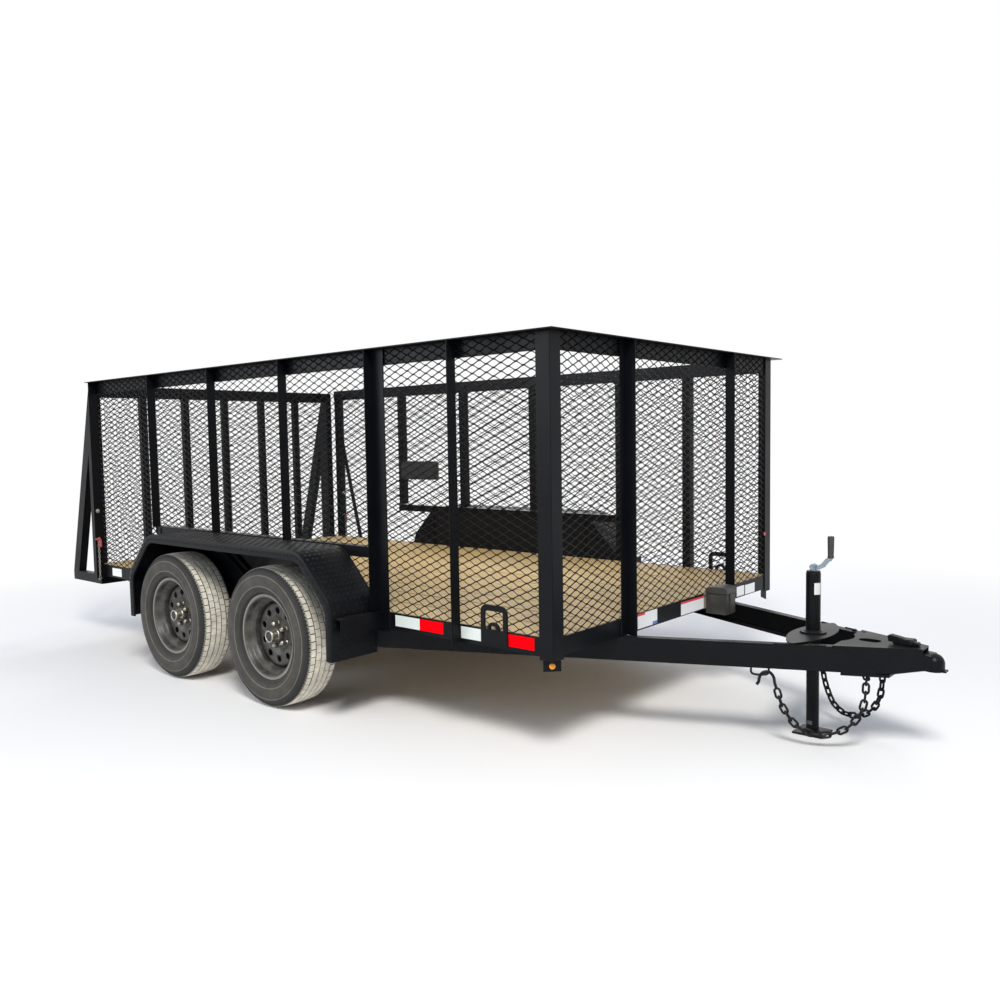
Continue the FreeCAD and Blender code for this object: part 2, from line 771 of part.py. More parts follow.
def build_axles():
    """Two axle tubes with spindles and brake plates, on leaf springs under the side rails."""
    out = "(bed_width / 2 + wheel_out)"
    for end, x in AXLES.items():
        short = "(%s - 74)" % out
        tube = rod("axle_tube_" + end, "axle_radius", "2 * " + short, x, "-" + short, "tyre_radius", "y")
        whole = "(%s + 50)" % out
        spindle = rod("spindle_" + end, "spindle_radius", "2 * " + whole, x, "-" + whole, "tyre_radius", "y")
        plates = []
        for hand, start in (("right", "-(%s - 78)" % out), ("left", "%s - 82" % out)):
            name = "brake_plate_%s_%s" % (end, hand)
            plates.append(rod(name, "plate_radius", "4", x, start, "tyre_radius", "y"))
        node(fused("axle_" + end, [tube, spindle] + plates))

    stack = "(leaf_count * leaf_thick)"
    side = number(RIGHT + " + spring_in")
    eye_z = number("rail_base - eye_drop")
    low = number("tyre_radius - axle_radius - %s" % stack)
    wide, span, leaf_thick = number("spring_wide"), number("spring_span"), number("leaf_thick")
    out = FreeCAD.Vector(0, 1, 0)
    parts = []
    for x_text in AXLES.values():
        x = number(x_text)
        spring = None
        for index in range(SIZES["leaf_count"]):
            lift = leaf_thick * (SIZES["leaf_count"] - index)
            fall = leaf_thick * index

            def arc(rise, sink):
                """The leaf's arch through its two ends and its middle."""
                return [
                    FreeCAD.Vector(x - span / 2, 0, eye_z - sink),
                    FreeCAD.Vector(x, 0, low + rise),
                    FreeCAD.Vector(x + span / 2, 0, eye_z - sink),
                ]

            top = Part.Arc(*arc(lift, fall))
            under = Part.Arc(*arc(lift - leaf_thick, fall + leaf_thick)[::-1])
            ends = [
                Part.LineSegment(top.EndPoint, under.StartPoint),
                Part.LineSegment(under.EndPoint, top.StartPoint),
            ]
            wire = Part.Wire([top.toShape(), ends[0].toShape(), under.toShape(), ends[1].toShape()])
            leaf = Part.Face(wire).extrude(out * wide)
            reach = span / 2 - index * number("leaf_step")
            if index:
                corner = FreeCAD.Vector(x - reach, -wide, low - span)
                leaf = leaf.common(Part.makeBox(2 * reach, 3 * wide, 3 * span, corner))
            spring = leaf if spring is None else spring.fuse(leaf)
        spring.translate(FreeCAD.Vector(0, side - wide / 2, 0))
        for end_x in (x - span / 2, x + span / 2):
            corner = FreeCAD.Vector(end_x, side - wide / 2, eye_z)
            spring = spring.fuse(Part.makeCylinder(number("eye_radius"), wide, corner, out))
        parts.append(spring.removeSplitter())
    right = formed("leaf_springs_right", Part.makeCompound(parts))
    left = mirrored("leaf_springs_left", right)
    node(gathered("leaf_springs", [right, left]))

    cheeks = []
    gap = "(spring_wide / 2 + 1)"
    mid_y = "(%s + spring_in)" % RIGHT
    spots = {
        "front": "(%s + spring_span / 2)" % AXLES["front"],
        "middle": WHEELS_MIDDLE,
        "rear": "(%s - spring_span / 2)" % AXLES["rear"],
    }
    for name, x in spots.items():
        drop = "eye_drop + 30" if name != "middle" else "eye_drop + 10"
        wide_text = "hanger_wide / 2"
        pair = []
        for hand, low_y in (("in", mid_y + " + " + gap), ("out", mid_y + " - " + gap + " - hanger_thick")):
            pair.append(
                block(
                    "hanger_%s_%s" % (name, hand),
                    (x + " - " + wide_text, x + " + " + wide_text),
                    (low_y, low_y + " + hanger_thick"),
                    ("rail_base - (%s)" % drop, "rail_base"),
                )
            )
        roof = block(
            "hanger_roof_" + name,
            (x + " - " + wide_text, x + " + " + wide_text),
            (mid_y + " - " + gap + " - hanger_thick", mid_y + " + " + gap + " + hanger_thick"),
            ("rail_base - hanger_thick", "rail_base"),
        )
        bolt = rod(
            "hanger_bolt_" + name,
            "8",
            "2 * (%s + hanger_thick)" % gap,
            x,
            mid_y + " - " + gap + " - hanger_thick",
            "rail_base - eye_drop",
            "y",
        )
        if name != "middle":
            cheeks.append(fused("hanger_" + name, pair + [roof]))
        else:
            beam = block(
                "equalizer",
                (
                    "%s - (axle_gap - spring_span) / 2 + eye_radius" % WHEELS_MIDDLE,
                    "%s + (axle_gap - spring_span) / 2 - eye_radius" % WHEELS_MIDDLE,
                ),
                (mid_y + " - spring_wide / 2", mid_y + " + spring_wide / 2"),
                ("rail_base - eye_drop - 18", "rail_base - eye_drop + 18"),
            )
            cheeks.append(fused("hanger_" + name, pair + [roof, bolt, beam]))
    right = gathered("spring_hangers_right", cheeks)
    left = mirrored("spring_hangers_left", right)
    node(gathered("spring_hangers", [right, left]))


def build_tongue():
    """Two channels that wrap under the frame and meet at the coupler, and the jack's plate."""
    length = "((tongue_front - tongue_apex) / cos(tongue_angle) + bed_width / 2 / sin(tongue_angle))"
    web = block("tongue_web", ("-%s" % length, "0"), ("0", "tongue_thick"), ("-tongue_high", "0"))
    upper = block(
        "tongue_upper", ("-%s" % length, "0"), ("0", "tongue_flange"), ("-tongue_thick", "0")
    )
    lower = block(
        "tongue_lower",
        ("-%s" % length, "0"),
        ("0", "tongue_flange"),
        ("-tongue_high", "-tongue_high + tongue_thick"),
    )
    right = node(fused("tongue_right", [web, upper, lower]))
    right.Placement = FreeCAD.Placement(
        FreeCAD.Vector(0, 0, 0), FreeCAD.Rotation(FreeCAD.Vector(0, 0, 1), SIZES["tongue_angle"])
    )
    right.setExpression("Placement.Rotation.Angle", bound("tongue_angle"))
    place(
        right,
        FRONT + " + tongue_front",
        "-(tongue_apex - tongue_front) * tan(tongue_angle)",
        "rail_base",
    )
    node(mirrored("tongue_left", right))

    jack_x = number(FRONT + " + jack_reach")
    base = number("rail_base")
    thick, bulge = number("jack_plate_thick"), number("jack_plate_round")
    middle = bulge - number("jack_plate_long / 2")
    plate = None
    for centre in (jack_x - middle, jack_x + middle):
        disc = Part.makeCylinder(bulge, thick, FreeCAD.Vector(centre, 0, base))
        plate = disc if plate is None else plate.common(disc)
    reach = number("(tongue_apex - jack_reach) * tan(tongue_angle)")
    corner = FreeCAD.Vector(jack_x - 2 * bulge, -reach, base)
    plate = plate.common(Part.makeBox(4 * bulge, 2 * reach, thick, corner))
    spot = FreeCAD.Vector(jack_x, 0, base)
    plate = plate.fuse(Part.makeCylinder(number("jack_ring_radius"), thick + number("jack_ring_high"), spot))
    hole = Part.makeCylinder(number("jack_radius + running_gap"), 4 * thick, spot)
    node(formed("jack_plate", plate.cut(hole).removeSplitter()))

    slope = math.tan(math.radians(number("tongue_angle")))
    apex = number(FRONT + " + tongue_apex")
    ends = [number(FRONT + " + chain_plate_back"), number(FRONT + " + chain_plate_front")]
    under = number("rail_base - tongue_high - chain_plate_thick")
    sides = [(x, -(apex - x) * slope) for x in ends]
    points = [(x, y, under) for x, y in sides] + [(x, -y, under) for x, y in sides[::-1]]
    node(formed("chain_plate", prism(points, (0, 0, number("chain_plate_thick")))))


def build_coupler():
    """A pressed hood over the ends of the channels, and the socket that drops on a ball."""
    front = number(FRONT)
    wall = number("coupler_wall")
    slope = math.tan(math.radians(number("tongue_angle")))
    back = front + number("coupler_back")
    end_x = front + number("tongue_front")
    ball_x = front + number("ball_reach")
    neck_x = ball_x - number("ball_radius")
    top = number("rail_base") + wall
    base = top - number("coupler_deep") - wall
    neck_half = number("coupler_neck") / 2

    def hood(inset, low, high, rear):
        half = [(x, (front + number("tongue_apex") - x) * slope + wall - inset) for x in (rear, end_x)]
        half.append((neck_x, neck_half - inset))
        points = [(x, -y) for x, y in half] + [(x, y) for x, y in reversed(half)]
        return prism([(x, y, low) for x, y in points], (0, 0, high - low))

    ball_z = number("ball_height")
    radius = number("ball_radius")
    outer = radius + number("socket_wall")
    skirt = base + number("coupler_rise") - wall

    def neck(inset):
        brow = ball_z + outer - wall
        side = [(end_x, base), (ball_x, base), (ball_x, brow), (end_x, top)]
        half = neck_half - inset
        return prism([(x, -half, z - inset) for x, z in side], (0, 2 * half, 0))

    shell = hood(0, base, top, back).fuse(neck(0))
    shell = shell.cut(hood(wall, base - 2 * wall, top - wall, back - 2 * wall)).cut(neck(wall))
    keel = base - 2 * wall
    flank = [
        (back - wall, keel),
        (back - wall, top - wall),
        (front + number("coupler_flap_back"), top - wall),
        (front + number("coupler_flap_low"), base),
        (front + number("coupler_keel"), base),
        (ball_x, base + number("coupler_rise")),
        (ball_x + outer, base + number("coupler_rise")),
        (ball_x + outer, keel),
    ]
    shell = shell.cut(prism([(x, -front, z) for x, z in flank], (0, 2 * front, 0)))
    slot_x = front + number("slot_reach")
    slot_long, slot_half = number("slot_long"), number("slot_wide") / 2
    spread = slot_long / 2 - slot_half
    for x in (slot_x - spread, slot_x + spread):
        shell = shell.cut(Part.makeCylinder(slot_half, 3 * wall, FreeCAD.Vector(x, 0, top - 2 * wall)))
    corner = FreeCAD.Vector(slot_x - spread, -slot_half, top - 2 * wall)
    shell = shell.cut(Part.makeBox(2 * spread, 2 * slot_half, 3 * wall, corner))
    notch = number("back_notch")
    notch_x = back - notch + (slot_x - slot_long / 2 - back) / 2
    shell = shell.cut(Part.makeCylinder(notch, 3 * wall, FreeCAD.Vector(notch_x, 0, top - 2 * wall)))
    dome = Part.makeCylinder(outer, ball_z - skirt, FreeCAD.Vector(ball_x, 0, skirt))
    upward = FreeCAD.Vector(0, 0, 1)
    dome = dome.fuse(Part.makeSphere(outer, FreeCAD.Vector(ball_x, 0, ball_z), upward, 0, 90, 360))
    shell = shell.fuse(dome)
    shell = shell.cut(Part.makeSphere(radius, FreeCAD.Vector(ball_x, 0, ball_z)))
    mouth = FreeCAD.Vector(ball_x, 0, skirt - wall)
    shell = shell.cut(Part.makeCylinder(radius, ball_z - skirt + wall, mouth))
    lip_x = front + number("nose_reach")
    lip_back = ball_x + outer - number("socket_wall") / 2
    lip_half = number("nose_lip_wide") / 2
    lip = Part.makeBox(lip_x - lip_back, 2 * lip_half, wall, FreeCAD.Vector(lip_back, -lip_half, skirt))
    node(formed("coupler", shell.fuse(lip).removeSplitter()))

    lever = block(
        "coupler_lever",
        (FRONT + " + ball_reach - 150", FRONT + " + ball_reach - 52"),
        ("-17", "17"),
        ("rail_base + coupler_wall", "rail_base + coupler_wall + 16"),
    )
    hump = block(
        "coupler_hump",
        (FRONT + " + ball_reach - 128", FRONT + " + ball_reach - 74"),
        ("-24", "24"),
        ("rail_base + coupler_wall", "rail_base + coupler_wall + 26"),
    )
    node(fused("coupler_latch", [lever, hump]))


def build_jack():
    """The jack: a fixed tube with its crank, and the leg with its foot that slides in it."""
    x = FRONT + " + jack_reach"
    outer = rod("jack_outer", "jack_radius", "jack_top - jack_low", x, "0", "jack_low")
    inner = rod("jack_inner", "jack_radius - jack_wall", "jack_top - jack_low - 8", x, "0", "jack_low - 4")
    node(cut("jack_tube", outer, inner))

    post = rod("crank_post", "12", "24", x, "0", "jack_top")
    arm = block(
        "crank_arm_bar", (x, x + " + crank_arm"), ("-8", "8"), ("jack_top + 12", "jack_top + 22")
    )
    rise = block(
        "crank_rise_bar",
        (x + " + crank_arm - 12", x + " + crank_arm"),
        ("-8", "8"),
        ("jack_top + 12", "jack_top + crank_rise + 12"),
    )
    grip = rod(
        "crank_grip", "grip_radius", "grip_long", x + " + crank_arm - 6", "0", "jack_top + crank_rise + 12"
    )
    node(fused("jack_crank", [post, arm, rise, grip]))

    radius = "jack_radius - jack_wall - running_gap"
    leg = rod("leg_outer", radius, "jack_leg_top - foot_thick", x, "0", "foot_thick")
    hollow = rod(
        "leg_inner", radius + " - jack_leg_wall", "jack_leg_top", x, "0", "foot_thick + jack_leg_wall"
    )
    tube = cut("leg_tube", leg, hollow)
    foot = block(
        "leg_foot",
        (x + " - foot_long / 2", x + " + foot_long / 2"),
        ("-foot_wide / 2", "foot_wide / 2"),
        ("0", "foot_thick"),
    )
    node(fused("jack_leg", [tube, foot]))


def build_gate():
    """The ramp gate: bottom bar on its pins, uprights, head bar, mesh and a truss each side."""
    half = "(bed_width / 2 - ear_thick - gate_side_gap)"
    bar = "gate_bar / 2"
    outer = block(
        "gate_sill_outer",
        (HINGE + " - " + bar, HINGE + " + " + bar),
        ("-" + half, half),
        ("hinge_height - " + bar, "hinge_height + " + bar),
    )
    room = "(gate_bar / 2 - gate_bar_wall)"
    inner = block(
        "gate_sill_inner",
        (HINGE + " - " + room, HINGE + " + " + room),
        ("-(%s - pin_long - 4)" % half, "%s - pin_long - 4" % half),
        ("hinge_height - " + room, "hinge_height + " + room),
    )
    hollow = cut("gate_sill_hollow", outer, inner)
    bore = rod(
        "gate_sill_bore",
        "pin_radius + running_gap",
        "bed_width",
        HINGE,
        "-bed_width / 2",
        "hinge_height",
        "y",
    )
    node(cut("gate_sill", hollow, bore))

    gate_x = (HINGE + " - upright_deep / 2", HINGE + " + upright_deep / 2")
    low = "hinge_height + gate_bar / 2"
    bars = []
    for index in (-2, -1, 0, 1, 2):
        mid = "(%d * upright_pitch)" % index
        bars.append(
            block(
                "upright_%d" % (index + 3),
                gate_x,
                (mid + " - upright_wide / 2", mid + " + upright_wide / 2"),
                (low, "gate_top - gate_head_high"),
            )
        )
    stile = "(%s - truss_tube)" % half
    for name, y in (("right", ("-" + half, "-" + stile)), ("left", (stile, half))):
        bars.append(block("gate_stile_" + name, gate_x, y, (low, "gate_top - gate_head_high")))
    node(gathered("gate_uprights", bars))
    node(block("gate_head", gate_x, ("-" + half, half), ("gate_top - gate_head_high", "gate_top")))

    wide, low_z, high_z = number(half), number(low), number("gate_top")
    panel = lattice([(-wide, low_z), (wide, low_z), (wide, high_z), (-wide, high_z)])
    node(formed("gate_mesh", panel, facing_forward(number(gate_x[1]))))

    hinge_x, back_x = number(HINGE), number(HINGE + " - foot_reach")
    deep = number("upright_deep") / 2
    tube = number("truss_tube")
    foot_low, foot_high = number("hinge_height - " + bar), number("hinge_height + " + bar)
    top_z = number("gate_top")
    y = -number(half)
    foot = prism(
        [
            (back_x, y, foot_low),
            (hinge_x - number(bar), y, foot_low),
            (hinge_x - number(bar), y, foot_high),
            (back_x, y, foot_high),
        ],
        (0, tube, 0),
    )
    slant_deep, tip = number("slant_deep"), number("slant_tip")
    lean = (hinge_x - deep - tip - back_x) / (top_z - foot_high)
    slant = prism(
        [
            (back_x, y, foot_high),
            (back_x + slant_deep, y, foot_high),
            (hinge_x - deep, y, top_z - (slant_deep - tip) / lean),
            (hinge_x - deep, y, top_z),
            (hinge_x - deep - tip, y, top_z),
        ],
        (0, tube, 0),
    )
    leg_deep, leg_high = number("leg_deep"), number("leg_top") - foot_high
    leg = Part.makeBox(leg_deep, tube, leg_high, FreeCAD.Vector(hinge_x - deep - leg_deep, y, foot_high))
    right = node(formed("gate_truss_right", foot.fuse(slant).fuse(leg).removeSplitter()))
    node(mirrored("gate_truss_left", right))

    ears = []
    ear = block(
        "hinge_ear_plate",
        (HINGE + " - 26", REAR),
        (RIGHT, RIGHT + " + ear_thick"),
        ("hinge_height - 26", RAIL_TOP),
    )
    pin = rod(
        "hinge_pin", "pin_radius", "ear_thick + gate_side_gap + pin_long", HINGE, RIGHT, "hinge_height", "y"
    )
    ears.append(fused("hinge_right", [ear, pin]))
    ears.append(mirrored("hinge_left", ears[0]))
    node(gathered("gate_hinges", ears))


def build_fittings():
    """Battery box, wall case, brace, lamps and tie-downs."""
    body = block(
        "box_body",
        (FRONT, FRONT + " + box_out - box_lid_lip"),
        ("box_side + box_lid_lip", "box_side + box_wide - box_lid_lip"),
        ("box_low", "box_top - box_lid"),
    )
    lid = block(
        "box_lid_block",
        (FRONT, FRONT + " + box_out"),
        ("box_side", "box_side + box_wide"),
        ("box_top - box_lid", "box_top"),
    )
    node(fused("battery_box", [body, lid]))

    start = "(%s - case_back)" % FRONT
    wall = "(bed_width / 2 - mesh_thick)"
    high = ("case_low", "case_low + case_high")
    node(block("wall_case", (start, start + " + case_long"), (wall + " - case_deep", wall), high))
    post = number(REAR + " + post_leg")
    rail_top, run, wide = number(RAIL_TOP), number("brace_run"), number("brace_wide")
    head = number("brace_top")
    y = number("bed_width / 2")
    points = [
        (post, y, head - wide * (head - rail_top) / run),
        (post + run - wide, y, rail_top),
        (post + run, y, rail_top),
        (post, y, head),
    ]
    node(formed("wall_brace", prism(points, (0, number("brace_thick"), 0))))

    node(gathered("marker_lamps", [marker_lamp(), mirrored("marker_lamp_left", doc.marker_lamp_right)]))
    lamps = []
    y = "(-bed_width / 2 - fender_out / 2)"
    face = "(%s - fender_half)" % FENDER_MIDDLE
    top = "(rail_base - 4)"
    housing = block(
        "tail_housing_block",
        (face + " - tail_housing", face),
        (y + " - tail_lamp_wide / 2", y + " + tail_lamp_wide / 2"),
        (top + " - tail_lamp_high", top),
    )
    lens = block(
        "tail_lens_block",
        (face + " - tail_housing - tail_lens", face + " - tail_housing"),
        (y + " - tail_lamp_wide / 2 + tail_rim", y + " + tail_lamp_wide / 2 - tail_rim"),
        (top + " - tail_lamp_high + tail_rim", top + " - tail_rim"),
    )
    lamps.append(fused("tail_lamp_right", [housing, lens]))
    lamps.append(mirrored("tail_lamp_left", lamps[0]))
    node(gathered("tail_lamps", lamps))
    node(gathered("tie_downs", [tie_down(), mirrored("tie_down_left", doc.tie_down_right)]))


def marker_lamp():
    """A small plate across the front corner, hung under the rails by its neck, with a round lens."""
    wide, high, thick = number("lamp_plate_wide"), number("lamp_plate_high"), number("lamp_plate_thick")
    neck, top = number("lamp_neck"), number("rail_base")
    shoulder = top - number("post_drop") - 1
    outline = [
        (-wide / 2, top - high),
        (wide / 2, top - high),
        (wide / 2, shoulder),
        (neck / 2, shoulder),
        (neck / 2, top),
        (-neck / 2, top),
        (-neck / 2, shoulder),
        (-wide / 2, shoulder),
    ]
    plate = prism([(across, 0, z) for across, z in outline], (0, thick, 0))
    lens_z = (shoulder + top - high) / 2
    proud = number("lamp_proud")
    lens = Part.makeCylinder(
        number("lamp_radius"), proud, FreeCAD.Vector(0, -proud, lens_z), FreeCAD.Vector(0, 1, 0)
    )
    inset = number("lamp_plate_in")
    spot = FreeCAD.Vector(number(FRONT) - inset, number(RIGHT) + inset, 0)
    turn = FreeCAD.Rotation(FreeCAD.Vector(0, 0, 1), 45)
    return formed("marker_lamp_right", plate.fuse(lens), FreeCAD.Placement(spot, turn))


def tie_down():
    """A loop cut from flat plate and welded to the rail's face, with a round-bar ring in it."""
    at = number("%s - loop_back" % FRONT)
    wide, bar, thick = number("loop_wide"), number("loop_bar"), number("loop_thick")
    top, foot, sill = number("loop_top"), number("rail_base + post_drop"), number(RAIL_TOP)
    face, bend = number(RIGHT), number("loop_round")

    def arch(half, low, high, radius, deep):
        blank = Part.makeBox(2 * half, deep, high - low, FreeCAD.Vector(at - half, face - deep, low))
        edges = [
            edge
            for edge in blank.Edges
            if edge.Vertexes[0].Z > high - 1
            and edge.Vertexes[-1].Z > high - 1
            and abs(edge.Vertexes[0].Y - edge.Vertexes[-1].Y) > 1
        ]
        return blank.makeFillet(radius, edges)

    loop = arch(wide / 2, foot, top, bend, thick)
    hole = arch(wide / 2 - bar, sill, top - bar, max(bend - bar, 2), 3 * thick)
    hole.translate(FreeCAD.Vector(0, thick, 0))
    radius, wire = number("ring_radius"), number("ring_bar")
    centre = FreeCAD.Vector(at, face, sill)
    back = FreeCAD.Vector(0, -1, 0)
    ring = Part.makeCylinder(radius + wire, 2 * wire, centre, back)
    ring = ring.cut(Part.makeCylinder(radius - wire, 2 * wire, centre, back))
    corner = centre - FreeCAD.Vector(2 * radius, 2 * wire, 0)
    above = Part.makeBox(4 * radius, 2 * wire, 2 * radius, corner)
    return formed("tie_down_right", loop.cut(hole).fuse(ring.common(above)).removeSplitter())


def chain_link(middle, ahead, flat):
    """One link: a six-sided plate with a long hole, lying along ahead and flat."""
    long_half, wide_half = number("link_long") / 2, number("link_wide") / 2
    bar = number("link_bar")
    up = ahead.cross(flat)

    def slab(tips):
        corners = [middle + ahead * x + flat * y - up * bar / 2 for x, y in tips]
        return prism([tuple(corner) for corner in corners], tuple(up * bar))

    half = long_half / 2
    tips = [(long_half, 0), (half, wide_half), (-half, wide_half)]
    tips += [(-long_half, 0), (-half, -wide_half), (half, -wide_half)]
    reach, room = long_half - bar, wide_half - bar
    return slab(tips).cut(slab([(reach, -room), (reach, room), (-reach, room), (-reach, -room)]))


def build_chains():
    """The safety chains: from the plate under the tongue's point, down and back to each channel."""
    front, under = number(FRONT), number("rail_base - tongue_high")
    plate_under = under - number("chain_plate_thick")
    chain = [
        (883, -100, plate_under),
        (872, -108, 180),
        (822, -130, 94),
        (728, -165, 52),
        (649, -200, 76),
        (598, -232, 153),
        (575, -247, 233),
        (562, -250, under),
    ]
    curve = Part.BSplineCurve()
    curve.interpolate([FreeCAD.Vector(front + x, y, z) for x, y, z in chain])
    pitch = number("link_long - 2 * link_bar + link_bite")
    count = int(curve.length() / pitch)
    spots = curve.toShape().discretize(Number=count + 1)
    links = []
    for index, (one, two) in enumerate(zip(spots, spots[1:])):
        ahead = (two - one).normalize()
        aside = ahead.cross(FreeCAD.Vector(0.3, 1, 0.2)).normalize()
        flat = aside if index % 2 else ahead.cross(aside)
        links.append(chain_link((one + two) / 2, ahead, flat))
    bar = number("link_bar")
    for end in (spots[0], spots[-1]):
        links.append(Part.makeBox(3 * bar, bar, 2 * bar, end - FreeCAD.Vector(1.5 * bar, bar / 2, 2 * bar)))
    line = links[0].multiFuse(links[1:])
    between, half = front + number("(chain_plate_back + jack_reach) / 2"), number("bed_width / 2")
    for near, level in ((front, under), (between, plate_under)):
        corner = FreeCAD.Vector(near, -half, level)
        line = line.cut(Part.makeBox(between - front, half, half, corner))
    right = formed("safety_chain_right", line)
    left = mirrored("safety_chain_left", right)
    node(gathered("safety_chains", [right, left]))


build_bed()
build_walls()
build_fenders()
build_wheels()
build_axles()
build_tongue()
build_coupler()
build_jack()
build_gate()
build_fittings()
build_chains()
doc.recompute()

for thing in doc.Objects:
    if "Invalid" in thing.State or "Error" in thing.State:
        raise RuntimeError("%s could not be built" % thing.Label)
for piece in nodes:
    if piece.Shape.isNull() or not piece.Shape.isValid():
        raise RuntimeError("%s has no valid shape" % piece.Label)

os.makedirs("parts", exist_ok=True)
for piece in nodes:
    piece.Shape.exportStep("parts/%s.step" % piece.Label)
print(len(nodes), "sub-parts")
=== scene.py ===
import math

import bmesh
import bpy
from mathutils import Matrix, Vector


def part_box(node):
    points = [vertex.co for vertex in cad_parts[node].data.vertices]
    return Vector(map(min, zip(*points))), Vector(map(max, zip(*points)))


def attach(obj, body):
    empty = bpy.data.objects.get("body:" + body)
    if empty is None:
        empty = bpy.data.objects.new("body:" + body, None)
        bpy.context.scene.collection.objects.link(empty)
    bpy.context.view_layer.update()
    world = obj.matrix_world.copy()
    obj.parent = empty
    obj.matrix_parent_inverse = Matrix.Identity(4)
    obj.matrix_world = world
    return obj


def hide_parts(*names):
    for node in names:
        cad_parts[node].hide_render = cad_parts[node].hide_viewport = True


# A tandem-axle landscape trailer. Metres; +X is forward to the coupler, +Y the trailer's left.
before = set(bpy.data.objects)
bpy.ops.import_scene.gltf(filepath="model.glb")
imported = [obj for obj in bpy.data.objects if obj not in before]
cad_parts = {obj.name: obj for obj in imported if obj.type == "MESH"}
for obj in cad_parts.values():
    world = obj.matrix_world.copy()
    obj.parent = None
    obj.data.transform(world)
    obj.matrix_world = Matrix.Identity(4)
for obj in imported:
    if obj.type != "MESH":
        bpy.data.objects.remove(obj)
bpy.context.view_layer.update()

# The frame's black powder coat.
# All the steel is sprayed with one glossy black powder coat, baked on after welding. It has a
# fine orange-peel skin, and road dust lies thinly on whatever faces up.
# The coat's near-black is the paint's own colour; its faint blue cast is a painted reflection of blue sky on
# the gloss.
COAT_BLACK_AND_SKY_SHEEN = (0.0032, 0.0037, 0.0052)
ROAD_DUST = (0.16, 0.15, 0.13)
COAT_SPECULAR = 0.13
EDGE_ROUND = 0.0012
SHARP_TURN = math.radians(40)


def finish_of(name, colour, roughness, metallic=0.0):
    """A new material with its plain values on the shader's own sockets."""
    finish = bpy.data.materials.new(name)
    finish.use_nodes = True
    shader = finish.node_tree.nodes["Principled BSDF"]
    shader.inputs["Base Color"].default_value = (*colour, 1)
    shader.inputs["Roughness"].default_value = roughness
    shader.inputs["Metallic"].default_value = metallic
    finish.diffuse_color = (*colour, 1)
    return finish


def step(finish, kind, values=(), **settings):
    """Adds a node to a material: plain values go to its inputs, and other nodes' outputs are linked."""
    made = finish.node_tree.nodes.new(kind)
    for key, value in settings.items():
        setattr(made, key, value)
    for socket, value in dict(values).items():
        if isinstance(value, bpy.types.NodeSocket):
            finish.node_tree.links.new(value, made.inputs[socket])
        else:
            made.inputs[socket].default_value = value
    return made


def feed(finish, socket, value):
    """Links a node's output to the material's shader."""
    finish.node_tree.links.new(value, finish.node_tree.nodes["Principled BSDF"].inputs[socket])


def noise_of(finish, scale, detail=3.0, roughness=0.5):
    """Noise over the piece's own metres."""
    where = step(finish, "ShaderNodeTexCoord").outputs["Object"]
    look = {"Vector": where, "Scale": scale, "Detail": detail, "Roughness": roughness}
    return step(finish, "ShaderNodeTexNoise", look).outputs[0]


def between(finish, value, low, high, to_low=0.0, to_high=1.0):
    """A value that runs from to_low to to_high while another runs from low to high."""
    ends = {"Value": value, "From Min": low, "From Max": high, "To Min": to_low, "To Max": to_high}
    return step(finish, "ShaderNodeMapRange", ends).outputs[0]


def combined(finish, a, b, operation="MULTIPLY"):
    """The product of two values, or what another operation makes of them."""
    return step(finish, "ShaderNodeMath", {0: a, 1: b}, operation=operation).outputs[0]


def tinted(finish, share, base, other):
    """Two colours mixed by a share. Either colour may be a plain one or another node's output."""
    made = step(finish, "ShaderNodeMix", {"Factor": share}, data_type="RGBA")
    for index, colour in ((6, base), (7, other)):
        if isinstance(colour, bpy.types.NodeSocket):
            finish.node_tree.links.new(colour, made.inputs[index])
        else:
            made.inputs[index].default_value = (*colour, 1)
    return made.outputs[2]


def relief(finish, height, strength, distance):
    """Fine bumps in the material."""
    bump = step(finish, "ShaderNodeBump", {"Height": height, "Strength": strength, "Distance": distance})
    feed(finish, "Normal", bump.outputs[0])


def coated(name, colour, roughness, dust):
    """Powder coat: a colour, an orange-peel skin, and dust on what faces up."""
    coat = finish_of(name, colour, roughness)
    coat.node_tree.nodes["Principled BSDF"].inputs["Specular IOR Level"].default_value = COAT_SPECULAR
    patches = noise_of(coat, 3.0, 6.0, 0.65)
    normal = step(coat, "ShaderNodeNewGeometry").outputs["Normal"]
    height = step(coat, "ShaderNodeSeparateXYZ", {0: normal}).outputs["Z"]
    lying = combined(coat, between(coat, height, 0.5, 1.0), between(coat, patches, 0.35, 0.75, 0.1, 1.0))
    everywhere = between(coat, noise_of(coat, 9.0, 5.0, 0.7), 0.45, 0.8, 0.0, 0.08)
    share = combined(coat, combined(coat, lying, dust), combined(coat, everywhere, dust), "ADD")
    feed(coat, "Base Color", tinted(coat, share, colour, ROAD_DUST))
    feed(coat, "Roughness", between(coat, patches, 0.3, 0.7, roughness - 0.05, roughness + 0.14))
    relief(coat, noise_of(coat, 260.0, 1.0), 0.08, 0.0006)
    return coat


def smoothed(work, degrees):
    """Shades a mesh smooth, but keeps an edge where it turns by more than an angle."""
    limit = math.radians(degrees)
    for face in work.faces:
        face.smooth = True
    for line in work.edges:
        line.smooth = len(line.link_faces) == 2 and line.calc_face_angle() < limit


def bevelled(work, lines, offset, rounds=2, clamp=False):
    """Rounds edges over."""
    ends = {"offset": offset, "segments": rounds, "affect": "EDGES", "clamp_overlap": clamp}
    bmesh.ops.bevel(work, geom=list(lines), **ends)


def placed(name, data):
    """A new object in the scene."""
    piece = bpy.data.objects.new(name, data)
    bpy.context.scene.collection.objects.link(piece)
    return piece


def mesh_of(name, work, finishes):
    """A bmesh made into a mesh with its finishes."""
    mesh = bpy.data.meshes.new(name)
    work.to_mesh(mesh)
    work.free()
    for finish in finishes:
        mesh.materials.append(finish)
    return mesh


